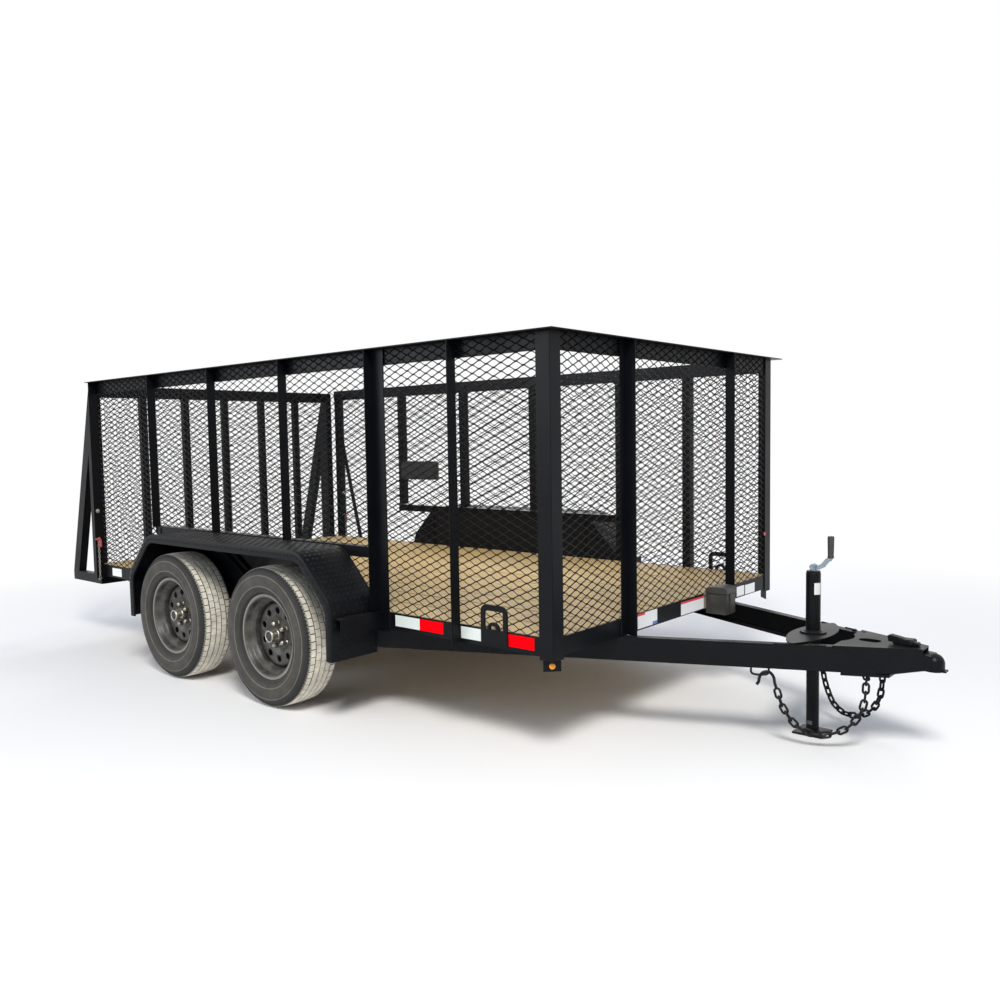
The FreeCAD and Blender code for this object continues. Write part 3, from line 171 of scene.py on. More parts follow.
def shown(name, work, finishes, body="chassis", node=None):
    """Shows a bmesh as a piece that rides a body, and may stand for a CAD node."""
    piece = placed(name, mesh_of(name, work, finishes))
    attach(piece, body)
    if node:
        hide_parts(node)
    return piece


def eased(name, finish, body="chassis", edge=EDGE_ROUND, rounds=2):
    """The CAD piece with its sharp edges rounded over, as paint and rolling leave them."""
    work = bmesh.new()
    work.from_mesh(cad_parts[name].data)
    bmesh.ops.remove_doubles(work, verts=work.verts, dist=1e-5)
    bmesh.ops.dissolve_limit(work, angle_limit=math.radians(1), verts=work.verts, edges=work.edges)
    inner = [line for line in work.edges if len(line.link_faces) == 2]
    sharp = [line for line in inner if line.calc_face_angle() > SHARP_TURN]
    bevelled(work, sharp, edge, rounds, True)
    smoothed(work, 35)
    return shown(name + "_eased", work, [finish], body, name)


black_coat = coated("black_powder_coat", COAT_BLACK_AND_SKY_SHEEN, 0.32, 0.12)
for bar in (
    "side_rail_right side_rail_left front_rail rear_sill crossmembers posts_right posts_left "
    "posts_front top_rail_right top_rail_left top_rail_front wall_rail_right wall_rail_left "
    "wall_brace"
).split():
    eased(bar, black_coat)

# The deck.
# Ten planks of yellow treated pine run the length of the bed, sawn with eased edges. They are
# held to each cross member by two black screws a plank, and are a little grey from weather.
PLANKS = 10
PLANK_GAP = 0.006
PLANK_EASE = 0.004
SCREW_RADIUS = 0.0055
SCREW_HEAD = 0.0012
SCREW_FROM_EDGE = 0.038
SCREW_FROM_BAR = 0.025
CROSS_MEMBERS = 7
PINE_LIGHT = (0.70, 0.50, 0.21)
PINE_DARK = (0.41, 0.26, 0.105)
PINE_KNOT = (0.13, 0.065, 0.028)
PINE_GREY = (0.44, 0.36, 0.21)
SCREW_STEEL = (0.05, 0.048, 0.045)

pine = finish_of("treated_pine", PINE_LIGHT, 0.68)
plank_chance = step(pine, "ShaderNodeNewGeometry").outputs["Random Per Island"]
along = step(pine, "ShaderNodeTexCoord").outputs["Object"]
shift = {0: (7.0, 3.0, 5.0), "Scale": plank_chance}
apart = step(pine, "ShaderNodeVectorMath", shift, operation="SCALE").outputs[0]
spread = step(pine, "ShaderNodeVectorMath", {0: along, 1: apart}, operation="ADD").outputs[0]
wander = step(pine, "ShaderNodeMapping", {"Vector": spread, "Scale": (0.7, 9.0, 9.0)}).outputs[0]
waves = {"Vector": wander, "Scale": 1.6, "Distortion": 9.0, "Detail": 3.0, "Detail Scale": 0.8}
grain = step(pine, "ShaderNodeTexWave", waves, bands_direction="Y").outputs[1]
fibres = step(pine, "ShaderNodeMapping", {"Vector": spread, "Scale": (2.0, 150.0, 150.0)}).outputs[0]
fibre = step(pine, "ShaderNodeTexNoise", {"Vector": fibres, "Scale": 1.0, "Detail": 4.0}).outputs[0]
knots = step(pine, "ShaderNodeMapping", {"Vector": spread, "Scale": (1.7, 5.2, 2.0)}).outputs[0]
knot = step(pine, "ShaderNodeTexVoronoi", {"Vector": knots, "Scale": 1.0}).outputs["Distance"]
wood = tinted(pine, between(pine, grain, 0.25, 0.85), PINE_LIGHT, PINE_DARK)
wood = tinted(pine, between(pine, fibre, 0.45, 0.75, 0.0, 0.5), wood, PINE_DARK)
wood = tinted(pine, between(pine, plank_chance, 0.0, 1.0, 0.0, 0.4), wood, PINE_LIGHT)
wood = tinted(pine, between(pine, noise_of(pine, 1.3, 5.0, 0.6), 0.45, 0.75, 0.0, 0.55), wood, PINE_GREY)
wood = tinted(pine, between(pine, knot, 0.075, 0.04), wood, PINE_KNOT)
feed(pine, "Base Color", wood)
relief(pine, fibre, 0.35, 0.0015)
screw_finish = finish_of("deck_screws", SCREW_STEEL, 0.5, 0.6)


def slotted(corners, slot):
    """Gives the faces at some corners a finish."""
    for corner in corners:
        for face in corner.link_faces:
            face.material_index = slot
    return corners


def box_in(work, low, high, slot=0):
    """Adds a box between two corners to a bmesh and returns its vertices."""
    made = bmesh.ops.create_cube(work, size=1)["verts"]
    bmesh.ops.scale(work, vec=[b - a for a, b in zip(low, high)], verts=made)
    bmesh.ops.translate(work, vec=[(a + b) / 2 for a, b in zip(low, high)], verts=made)
    return slotted(made, slot)


def disc_in(work, centre, radius, thick, sides, slot=0, axis="Z", top=None):
    """Adds a short cylinder or cone to a bmesh. The far end's radius is top."""
    ends = {"radius1": radius, "radius2": radius if top is None else top, "depth": thick}
    made = bmesh.ops.create_cone(work, cap_ends=True, segments=sides, **ends)["verts"]
    turn = {
        "X": Matrix.Rotation(math.pi / 2, 3, "Y"),
        "Y": Matrix.Rotation(-math.pi / 2, 3, "X"),
        "Z": Matrix.Identity(3),
    }
    bmesh.ops.rotate(work, matrix=turn[axis], verts=made)
    bmesh.ops.translate(work, vec=centre, verts=made)
    return slotted(made, slot)


deck_low, deck_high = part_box("deck_boards")
plank_pitch = (deck_high.y - deck_low.y + PLANK_GAP) / PLANKS
plank_starts = [deck_low.y + plank * plank_pitch for plank in range(PLANKS)]
deck = bmesh.new()
for start in plank_starts:
    end = start + plank_pitch - PLANK_GAP
    box_in(deck, (deck_low.x, start, deck_low.z), (deck_high.x, end, deck_high.z))
bevelled(deck, deck.edges, PLANK_EASE, 2, True)
smoothed(deck, 50)
rail_low, rail_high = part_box("side_rail_right")
bed_length = rail_high.x - rail_low.x
for start in plank_starts:
    for bar in range(1, CROSS_MEMBERS + 1):
        bar_x = rail_low.x + bar * bed_length / (CROSS_MEMBERS + 1) + SCREW_FROM_BAR
        for y in (start + SCREW_FROM_EDGE, start + plank_pitch - PLANK_GAP - SCREW_FROM_EDGE):
            disc_in(deck, (bar_x, y, deck_high.z), SCREW_RADIUS, SCREW_HEAD, 10, 1)
shown("deck_planks", deck, [pine, screw_finish], node="deck_boards")

# The fenders.
# One sheet of 3 mm tread plate a side, bent over both wheels and welded to the bed. Its outer
# edge turns down in a lip that ends in a rolled bead, and raised bars cross its face in a weave.
FENDER_FLAT_HALF = 0.680
FENDER_KNEE = 0.552
FENDER_BEND = 0.130
FENDER_LIP = 0.045
LIP_BEND = 0.006
PLATE_THICK = 0.003
BEAD_RADIUS = 0.0062
LUG_PITCH = 0.0265
LUG_LONG = 0.0115
LUG_WIDE = 0.0038
LUG_HIGH = 0.0021
LUG_MARGIN = 0.012


def rounded(corners, radius, steps):
    """An open line of (x, z) points with an arc at each inner corner."""
    line = [Vector(corners[0])]
    for before, corner, after in zip(corners, corners[1:], corners[2:]):
        before, corner, after = Vector(before), Vector(corner), Vector(after)
        to_before, to_after = (before - corner).normalized(), (after - corner).normalized()
        half = to_before.angle(to_after) / 2
        centre = corner + (to_before + to_after).normalized() * radius / math.sin(half)
        begin = corner + to_before * radius / math.tan(half) - centre
        finish = corner + to_after * radius / math.tan(half) - centre
        sweep = begin.angle_signed(finish)
        for index in range(steps + 1):
            line.append(centre + Matrix.Rotation(-sweep * index / steps, 2) @ begin)
    line.append(Vector(corners[-1]))
    return line


def band_in(work, one, two, slot=0, smooth=False, closed=True):
    """Joins two lines of vertices with a band of faces."""
    for index in range(len(one) if closed else len(one) - 1):
        after = (index + 1) % len(one)
        face = work.faces.new((one[index], one[after], two[after], two[index]))
        face.material_index = slot
        face.smooth = smooth


def slab_in(work, outline, push, slot=0):
    """Adds a flat plate: a closed outline of points, pushed along a vector."""
    near = [work.verts.new(point) for point in outline]
    far = [work.verts.new(Vector(point) + Vector(push)) for point in outline]
    for ring in (near, far[::-1]):
        work.faces.new(ring).material_index = slot
    band_in(work, near, far, slot)


def sealed(work, degrees):
    """Turns a mesh's faces outward and shades it smooth."""
    bmesh.ops.recalc_face_normals(work, faces=work.faces)
    smoothed(work, degrees)


def lug_in(work, centre, ahead, aside, up, turn):
    """Adds one raised bar of the tread plate: a long lens standing on it."""
    lie = ahead * math.cos(turn) + aside * math.sin(turn)
    over = aside * math.cos(turn) - ahead * math.sin(turn)
    foot, crest = [], []
    for along_by, over_by in ((1, 0), (0.45, 1), (-0.45, 1), (-1, 0), (-0.45, -1), (0.45, -1)):
        reach, spread = lie * along_by * LUG_LONG, over * over_by * LUG_WIDE
        foot.append(work.verts.new(centre + reach + spread))
        crest.append(work.verts.new(centre + up * LUG_HIGH + reach * 0.62 + spread * 0.4))
    band_in(work, foot, crest, smooth=True)
    work.faces.new(crest).smooth = True


def fender_path(low, high):
    """The bent plate's line of (x, z) points from end to end, and the way out at each of them."""
    middle, half = (low.x + high.x) / 2, (high.x - low.x) / 2
    corners = [(-half, low.z), (-half, FENDER_KNEE), (-FENDER_FLAT_HALF, high.z)]
    corners += [(-x, z) for x, z in reversed(corners)]
    path = rounded([(middle + x, z) for x, z in corners], FENDER_BEND, 10)
    outward = []
    for before, after in zip(path[:1] + path, path[1:] + path[-1:]):
        ahead = after - before
        outward.append(Vector((-ahead.y, ahead.x)).normalized())
    return path, outward


def fender_section(wall, outer, side):
    """The plate's section as (y, depth) points: flat from the wall, a bend, the lip and its bead."""
    section = [(wall, 0.0), (outer - side * LIP_BEND, 0.0), (outer - side * 0.002, 0.002)]
    section.append((outer, LIP_BEND))
    for index in range(9):
        angle = math.radians(270 * index / 8)
        out, down = BEAD_RADIUS * math.cos(angle), BEAD_RADIUS * math.sin(angle)
        section.append((outer - side * BEAD_RADIUS + side * out, FENDER_LIP - BEAD_RADIUS + down))
    behind_lip = outer - side * PLATE_THICK
    section += [(behind_lip, FENDER_LIP - 2 * BEAD_RADIUS), (behind_lip, 0.007)]
    return section + [(outer - side * 0.007, PLATE_THICK), (wall, PLATE_THICK)]


def weave_in(work, path, outward, wall, outer, side):
    """Crosses the plate's face and lip with raised bars that turn left and right by turns."""
    lengths = [0.0]
    for one, two in zip(path, path[1:]):
        lengths.append(lengths[-1] + (two - one).length)
    rows = int((lengths[-1] - 0.02) / LUG_PITCH)
    columns = int((abs(outer - wall) - 0.02) / LUG_PITCH)
    aside = Vector((0, side, 0))
    index = 0
    for row in range(rows):
        length = LUG_MARGIN + (row + 0.5) * LUG_PITCH
        while length > lengths[index + 1]:
            index += 1
        share = (length - lengths[index]) / (lengths[index + 1] - lengths[index])
        point = path[index].lerp(path[index + 1], share)
        normal = outward[index].lerp(outward[index + 1], share).normalized()
        up = Vector((normal.x, 0, normal.y))
        ahead = aside.cross(up)
        for column in range(columns):
            y = wall + side * (LUG_MARGIN + (column + 0.5) * LUG_PITCH)
            turn = math.pi / 4 if (row + column) % 2 else -math.pi / 4
            lug_in(work, Vector((point.x, y, point.y)), ahead, aside, up, turn)
        inner = point - normal * (FENDER_LIP * 0.45)
        turn = math.pi / 4 if row % 2 else -math.pi / 4
        lug_in(work, Vector((inner.x, outer, inner.y)), ahead, up, aside, turn)


def fender(side):
    """A tread-plate fender. side is -1 on the right and 1 on the left."""
    cad_node = "fender_right" if side < 0 else "fender_left"
    low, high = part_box(cad_node)
    wall, outer = (high.y, low.y) if side < 0 else (low.y, high.y)
    outer -= side * LUG_HIGH
    path, outward = fender_path(low, high)
    section = fender_section(wall, outer, side)
    work = bmesh.new()
    rings = []
    for point, normal in zip(path, outward):
        spots = [(point - normal * depth, y) for y, depth in section]
        rings.append([work.verts.new((spot.x, y, spot.y)) for spot, y in spots])
    for one, two in zip(rings, rings[1:]):
        band_in(work, one, two)
    work.faces.new(rings[0])
    work.faces.new(rings[-1][::-1])
    skin = [point - normal * 0.001 for point, normal in zip(path, outward)]
    wall_plate = [(skin[0].x, wall, rail_low.z)]
    wall_plate += [(point.x, wall, point.y) for point in skin if point.y > rail_low.z]
    wall_plate.append((skin[-1].x, wall, rail_low.z))
    slab_in(work, wall_plate, (0, side * PLATE_THICK, 0))
    sealed(work, 32)
    weave_in(work, path, outward, wall, outer, side)
    shown("tread_plate_" + cad_node, work, [black_coat], node=cad_node)


fender(-1)
fender(1)
eased("fender_arms", black_coat)

# The walls' and the gate's mesh.
# Expanded steel: a sheet is slit and pulled open into diamonds, so each strand is a flat ribbon
# that stands across the sheet and joins its neighbours at the knuckles. It is welded to the frame.
DIAMOND_LONG = 0.076
DIAMOND_SHORT = 0.034
KNUCKLE_LONG = 0.011
STRAND_WIDE = 0.0040
STRAND_THICK = 0.0034
STRAND_TILT = math.radians(52)


def strand_in(work, row, level, middle, run, across, away):
    """Adds one zigzag strand along a run, as a flat ribbon that stands across the sheet."""
    half = DIAMOND_LONG / 2
    lean = math.cos(STRAND_TILT), math.sin(STRAND_TILT)
    ring = None
    for knuckle in range(math.floor(run[0] / half) - 1, math.ceil(run[1] / half) + 1):
        side = 1 if (knuckle + row) % 2 else -1
        up = level + side * (DIAMOND_SHORT / 4 - STRAND_WIDE / 2 * lean[0])
        out = middle + side * STRAND_WIDE / 2 * lean[1]
        for offset in (-KNUCKLE_LONG / 2, KNUCKLE_LONG / 2):
            corners = []
            for wide, thick in ((1, 1), (-1, 1), (-1, -1), (1, -1)):
                wide_by, thick_by = wide * STRAND_WIDE / 2, thick * STRAND_THICK / 2
                point = [0.0, 0.0, up + wide_by * lean[0] + thick_by * lean[1]]
                point[across] = min(max(knuckle * half + offset, run[0]), run[1])
                point[away] = out - wide_by * lean[1] + thick_by * lean[0]
                corners.append(work.verts.new(point))
            if ring:
                band_in(work, ring, corners)
            ring = corners


def expanded(name, node, body, across, away, notches=()):
    """Pulled-open mesh over a CAD panel's box. across and away are the indexes of the axes that
    run along the diamonds and through the sheet. Notches (start, end, top) are left out."""
    low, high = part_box(node)
    start, end = low[across], high[across]
    pitch, swing = DIAMOND_SHORT / 2, DIAMOND_SHORT / 4
    work = bmesh.new()
    for row in range(int((high.z - low.z) / pitch)):
        level = low.z + swing + row * pitch
        runs = [(start, end)]
        for notch_start, notch_end, top in notches:
            if level < top - swing / 2:
                runs = [(start, notch_start), (notch_end, end)]
                break
        for run in runs:
            strand_in(work, row, level, (low[away] + high[away]) / 2, run, across, away)
    bmesh.ops.recalc_face_normals(work, faces=work.faces)
    shown(name, work, [black_coat], body, node)


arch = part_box("wall_rail_right")
fender_middle = (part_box("fender_right")[0].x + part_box("fender_right")[1].x) / 2
arch_notches = (
    (fender_middle - FENDER_FLAT_HALF, fender_middle + FENDER_FLAT_HALF, arch[0].z),
    (arch[0].x, arch[1].x, arch[1].z),
)
expanded("expanded_mesh_right", "mesh_right", "chassis", 0, 1, arch_notches)
expanded("expanded_mesh_left", "mesh_left", "chassis", 0, 1, arch_notches)
expanded("expanded_mesh_front", "mesh_front", "chassis", 1, 0)
expanded("expanded_mesh_gate", "gate_mesh", "gate", 1, 0)

# The tyres.
# Four 205/75R15 radial trailer tyres. The tread has five ribs of blocks with four grooves round
# it, and fine nicks at the shoulders. Pale road dust fills the tread and lies on the sidewalls, and
# thin bands of painted highlight, tinted like dust, line the two ring ribs on each sidewall.
TYRE_RIBS = ((-0.074, -0.049), (-0.043, -0.018), (-0.012, 0.012), (0.018, 0.043), (0.049, 0.074))
RIB_STARTS = (0.0, 0.5, 0.2, 0.7, 0.35)
TYRE_BLOCKS = 58
BLOCK_GAP = 0.0045
BLOCK_EASE = 0.0009
TREAD_DEEP = 0.008
CROWN_DROP = 0.004
SHOULDER_NICKS = 116
RUBBER = (0.014, 0.0145, 0.0155)
TREAD_DUST = (0.86, 0.81, 0.69)
SIDE_DUST = (0.088, 0.081, 0.067)
RING_HIGHLIGHT = (0.17, 0.158, 0.13)


def from_axle(finish):
    """The distance from a wheel's axle, which is the piece's own Y axis."""
    where = step(finish, "ShaderNodeTexCoord").outputs["Object"]
    axes = step(finish, "ShaderNodeSeparateXYZ", {0: where}).outputs
    flat = step(finish, "ShaderNodeCombineXYZ", {"X": axes["X"], "Z": axes["Z"]}).outputs[0]
    return step(finish, "ShaderNodeVectorMath", {0: flat}, operation="LENGTH").outputs["Value"]


rubber = finish_of("dusty_tyre_rubber", RUBBER, 0.85)
tyre_reach = from_axle(rubber)
patchy = between(rubber, noise_of(rubber, 14.0, 6.0, 0.7), 0.35, 0.65, 0.62, 1.0)
on_tread = combined(rubber, between(rubber, tyre_reach, 0.3325, 0.3365), patchy)
in_groove = between(rubber, tyre_reach, 0.3275, 0.3325, 0.0, 0.3)
under_tread = between(rubber, tyre_reach, 0.318, 0.285, 0.08, 1.0)
on_side = combined(rubber, under_tread, between(rubber, tyre_reach, 0.212, 0.255, 0.25, 1.0))
cloudy = between(rubber, noise_of(rubber, 7.0, 5.0, 0.7), 0.35, 0.7, 0.25, 0.85)
worn = tinted(rubber, combined(rubber, on_side, cloudy), RUBBER, SIDE_DUST)
# Thin pale bands along the two sidewall ring ribs: a dust-tinted painted highlight that picks out their
# relief.
for low, high in ((0.2435, 0.2485), (0.2965, 0.3010)):
    ring_highlight = between(rubber, tyre_reach, low - 0.001, low, 0.0, 0.8)
    ring_highlight = combined(rubber, ring_highlight, between(rubber, tyre_reach, high + 0.001, high))
    worn = tinted(rubber, combined(rubber, ring_highlight, patchy), worn, RING_HIGHLIGHT)
worn = tinted(rubber, in_groove, worn, SIDE_DUST)
worn = tinted(rubber, on_tread, worn, TREAD_DUST)
feed(rubber, "Base Color", worn)
relief(rubber, noise_of(rubber, 320.0, 2.0), 0.2, 0.0006)


def turned(work, outline, sides, slot=0, closed=True, centre=(0, 0, 0), axis=(0, 1, 0)):
    """Turns an outline of (radius, distance along the axis) points about an axis."""
    axis = Vector(axis).normalized()
    across = axis.cross(Vector((0, 0, 1)) if abs(axis.z) < 0.9 else Vector((0, 1, 0))).normalized()
    up = axis.cross(across)
    rings = []
    for index in range(sides):
        angle = 2 * math.pi * index / sides
        ray = across * math.cos(angle) + up * math.sin(angle)
        rings.append([work.verts.new(Vector(centre) + ray * r + axis * out) for r, out in outline])
    for ring, following in zip(rings, rings[1:] + rings[:1]):
        band_in(work, ring, following, slot, closed=closed)


def tyre_mesh():
    """The tyre about its own centre, with its outer side toward -Y."""
    low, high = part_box("tyre_front_right")
    radius, half = (high.z - low.z) / 2, (high.y - low.y) / 2
    floor = radius - TREAD_DEEP
    side_curve = [(0.192, 0.070), (0.207, 0.0735), (0.2125, 0.079), (0.216, 0.088), (0.2195, 0.0895)]
    side_curve += [(0.2225, 0.0885), (0.232, 0.0945), (0.2435, 0.0988), (0.2445, 0.1), (0.2475, 0.1)]
    side_curve += [(0.2485, 0.0996), (0.262, 0.1018), (0.276, 0.1022), (0.288, 0.1008)]
    side_curve += [(0.2965, 0.099), (0.2975, 0.0998), (0.3005, 0.099), (0.3015, 0.0976)]
    side_curve += [(0.313, 0.093), (0.3235, 0.0855), (0.33, 0.077)]
    scale = half / 0.1025
    curve = [(r, -y * scale) for r, y in side_curve]
    far_curve = [(r, -y) for r, y in reversed(curve)]
    work = bmesh.new()
    turned(work, curve + [(floor, -0.070), (floor, 0.070)] + far_curve, 120)
    smoothed(work, 40)

    def crown(y):
        """The tread's radius at a distance from its middle."""
        return radius - CROWN_DROP * (abs(y) / TYRE_RIBS[-1][1]) ** 2

    def block(angle, span, corners, foot_radius):
        """A tread block: (y, radius) corners at its two sides, standing on the groove's floor."""
        foot, waist, crest = [], [], []
        for side, end in ((0, -1), (1, -1), (1, 1), (0, 1)):
            y, top = corners[side]
            inner_y = y + (-BLOCK_EASE if side else BLOCK_EASE)
            here = angle + end * span / 2
            for ring, reach, at, across in (
                (foot, foot_radius, here, y),
                (waist, top - 0.0008, here, y),
                (crest, top, here - end * BLOCK_EASE / radius, inner_y),
            ):
                ring.append(work.verts.new((reach * math.cos(at), across, reach * math.sin(at))))
        band_in(work, foot, waist)
        band_in(work, waist, crest)
        work.faces.new(crest)

    pitch = 2 * math.pi / TYRE_BLOCKS
    for rib, (start, end) in enumerate(TYRE_RIBS):
        corners = ((start, crown(start)), (end, crown(end)))
        gap = BLOCK_GAP if rib in (0, 4) else BLOCK_GAP * 0.6
        for index in range(TYRE_BLOCKS):
            angle = (index + RIB_STARTS[rib]) * pitch
            block(angle, pitch - gap / radius, corners, floor - 0.001)
    nick = 2 * math.pi / SHOULDER_NICKS
    for side in (-1, 1):
        corners = [(side * 0.0765, crown(0.0765) - 0.0005), (side * 0.0885, radius - 0.0145)]
        corners.sort()
        for index in range(SHOULDER_NICKS):
            block(index * nick, nick * 0.74, corners, radius - 0.022)
    bmesh.ops.recalc_face_normals(work, faces=work.faces)
    return mesh_of("trailer_tyre", work, [rubber])


def at_wheels(name, mesh, cad_part):
    """One shared mesh at each wheel, turned to face outward, in place of its CAD node."""
    for wheel in ("front_right", "front_left", "rear_right", "rear_left"):
        low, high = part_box("tyre_" + wheel)
        piece = placed(name + "_" + wheel, mesh)
        piece.location = (low + high) / 2
        if wheel.endswith("left"):
            piece.rotation_euler.z = math.pi
        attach(piece, "wheel_" + wheel)
        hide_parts(cad_part + "_" + wheel)


at_wheels("trailer_tyre", tyre_mesh(), "tyre")

# The wheels.
# Pressed steel 15-inch wheels in black paint. The rolled rim carries a dished disc with ten round
# holes and five bolts; brake dust and mud dull it, and a pale painted highlight lies on the rim's flange.
RIM_HALF = 0.0765
WHEEL_HOLES = 10
SECTOR_STEPS = 8
HOLE_CIRCLE = 0.119
HOLE_RADIUS = 0.0165
PILOT_RADIUS = 0.0385
DISC_FACE = -0.014
DISC_SEAT = -0.001
DISC_THICK = 0.005
WHEEL_BLACK = (0.016, 0.016, 0.016)
WHEEL_MUD_AND_HIGHLIGHT = (0.30, 0.28, 0.225)

wheel_paint = finish_of("wheel_paint", WHEEL_BLACK, 0.42)
mud_share = between(wheel_paint, noise_of(wheel_paint, 11.0, 8.0, 0.75), 0.45, 0.72, 0.05, 0.42)
# The rim's flange is painted pale as a highlight along its rolled edge; the noise patches are real mud.
flange_highlight = between(wheel_paint, from_axle(wheel_paint), 0.1935, 0.1990, 0.0, 0.85)
mud_and_highlight = combined(wheel_paint, mud_share, flange_highlight, "MAXIMUM")
feed(wheel_paint, "Base Color", tinted(wheel_paint, mud_and_highlight, WHEEL_BLACK, WHEEL_MUD_AND_HIGHLIGHT))
feed(wheel_paint, "Roughness", between(wheel_paint, mud_and_highlight, 0.0, 0.6, 0.34, 0.8))
relief(wheel_paint, noise_of(wheel_paint, 90.0, 4.0), 0.25, 0.001)


def rim_outline():
    """The rolled rim's section. Each (radius, depth) list runs inward from one of its two edges."""
    flange = [(0.2045, -0.0005), (0.2075, 0.001), (0.2078, 0.0035), (0.205, 0.0046)]
    flange += [(0.1995, 0.0042), (0.194, 0.0055), (0.1905, 0.009), (0.1895, 0.023)]
    near = flange + [(0.185, 0.029), (0.17, 0.04), (0.1678, 0.046)]
    far = flange + [(0.188, 0.028), (0.172, 0.038), (0.1678, 0.044)]
    lip = [(0.1985, -0.0002), (0.1905, 0.002), (0.1868, 0.007)]
    under_near = lip + [(0.1858, 0.025), (0.1815, 0.031), (0.1668, 0.042), (0.164, 0.05)]
    under_far = lip + [(0.186, 0.024), (0.1836, 0.03), (0.169, 0.04), (0.164, 0.048)]
    outline = [(r, depth - RIM_HALF) for r, depth in near]
    outline += [(r, RIM_HALF - depth) for r, depth in far[::-1] + under_far]
    return outline + [(r, depth - RIM_HALF) for r, depth in under_near[::-1]]


def disc_face(reach):
    """The disc's outer face at a radius: a raised seat, a slope, and the flat ring of holes."""
    knots = [(PILOT_RADIUS, DISC_SEAT - 0.004), (0.046, DISC_SEAT - 0.002), (0.050, DISC_SEAT)]
    knots += [(0.070, DISC_SEAT), (0.078, DISC_SEAT - 0.003), (0.090, DISC_FACE + 0.004)]
    knots += [(0.097, DISC_FACE), (0.143, DISC_FACE - 0.001), (0.151, DISC_FACE + 0.002)]
    knots += [(0.157, DISC_FACE + 0.010), (0.164, DISC_FACE + 0.022)]
    for (near, low), (far, high) in zip(knots, knots[1:]):
        if reach <= far:
            share = (reach - near) / (far - near)
            return low + (high - low) * share * share * (3 - 2 * share)
    return knots[-1][1]


def sector_border(ring_half, sector_half):
    """Points round a disc's sector, as (radius, angle) steps from its middle."""
    around = [-sector_half + 2 * sector_half * k / SECTOR_STEPS for k in range(SECTOR_STEPS)]
    outward = [-ring_half + 2 * ring_half * k / 4 for k in range(4)]
    border = [(-ring_half, angle) for angle in around] + [(reach, sector_half) for reach in outward]
    return border + [(-reach, -angle) for reach, angle in border]


def wheel_mesh():
    """The rim and its disc about the wheel's centre, with the outer side toward -Y."""
    work = bmesh.new()
    turned(work, rim_outline(), 96)
    inner = [PILOT_RADIUS, 0.042, 0.046, 0.050, 0.056, 0.063, 0.070, 0.074, 0.078, 0.084, 0.090, 0.094]
    outer = [0.144, 0.148, 0.151, 0.154, 0.158, 0.161, 0.164]
    sides = WHEEL_HOLES * SECTOR_STEPS
    rays = [2 * math.pi * k / sides for k in range(sides)]
    for reaches in (inner, outer):
        rings = []
        for reach in reaches:
            spots = [(reach * math.cos(ray), disc_face(reach), reach * math.sin(ray)) for ray in rays]
            rings.append([work.verts.new(spot) for spot in spots])
        for one, two in zip(rings, rings[1:]):
            band_in(work, one, two)
    pilot_face = disc_face(PILOT_RADIUS)
    pilot = [(PILOT_RADIUS, pilot_face), (PILOT_RADIUS, pilot_face + DISC_THICK)]
    turned(work, pilot, sides, closed=False)
    ring_middle, ring_half = (inner[-1] + outer[0]) / 2, (outer[0] - inner[-1]) / 2
    sector_half = math.pi / WHEEL_HOLES
    for sector in range(WHEEL_HOLES):
        centre = (sector + 0.5) * 2 * sector_half
        border, hole = [], []
        for reach, across in sector_border(ring_half, sector_half):
            reach, angle = ring_middle + reach, centre + across
            away = math.atan2((angle - centre) * HOLE_CIRCLE, reach - HOLE_CIRCLE)
            border.append((reach, angle))
            swing = HOLE_RADIUS * math.sin(away) / HOLE_CIRCLE
            hole.append((HOLE_CIRCLE + HOLE_RADIUS * math.cos(away), centre + swing))
        loops = []
        for share, sunk in ((0.0, 0.0), (0.5, 0.0), (0.86, -0.0004), (1.0, 0.0012), (1.0, 0.006)):
            loop = []
            for (r1, a1), (r2, a2) in zip(border, hole):
                reach, angle = r1 + (r2 - r1) * share, a1 + (a2 - a1) * share
                spot = (reach * math.cos(angle), disc_face(reach) + sunk, reach * math.sin(angle))
                loop.append(work.verts.new(spot))
            loops.append(loop)
        for one, two in zip(loops, loops[1:]):
            band_in(work, one, two)
    bmesh.ops.remove_doubles(work, verts=work.verts, dist=2e-5)
    sealed(work, 38)
    return mesh_of("steel_wheel", work, [wheel_paint])


at_wheels("steel_wheel", wheel_mesh(), "rim")

# The hubs.
# A cast drum turns on the spindle behind the wheel. In front, five chromed bolts' nuts hold the
# wheel, and a zinc-plated cap with a rubber plug closes the bearings.
NUTS = 5
NUT_CIRCLE = 0.057
NUT_RADIUS = 0.0125
NUT_LONG = 0.026
CAP_RADIUS = 0.0315
CAP_REACH = -0.070
DRUM_RADIUS = 0.140
CAST_GREY = (0.05, 0.045, 0.04)
CAST_RUST = (0.075, 0.055, 0.04)
ZINC = (0.55, 0.54, 0.50)
DUSTY_ZINC = (0.36, 0.33, 0.27)
CHROME = (0.50, 0.48, 0.43)
DUSTY_CHROME = (0.20, 0.175, 0.13)
PLUG_BLACK = (0.03, 0.03, 0.03)


def soiled(finish, share, colour, dirt, dulled=None):
    """Mixes a dirtier colour into a finish by a share, and may change its roughness along with it."""
    feed(finish, "Base Color", tinted(finish, share, colour, dirt))
    if dulled:
        feed(finish, "Roughness", between(finish, share, 0.0, 1.0, *dulled))


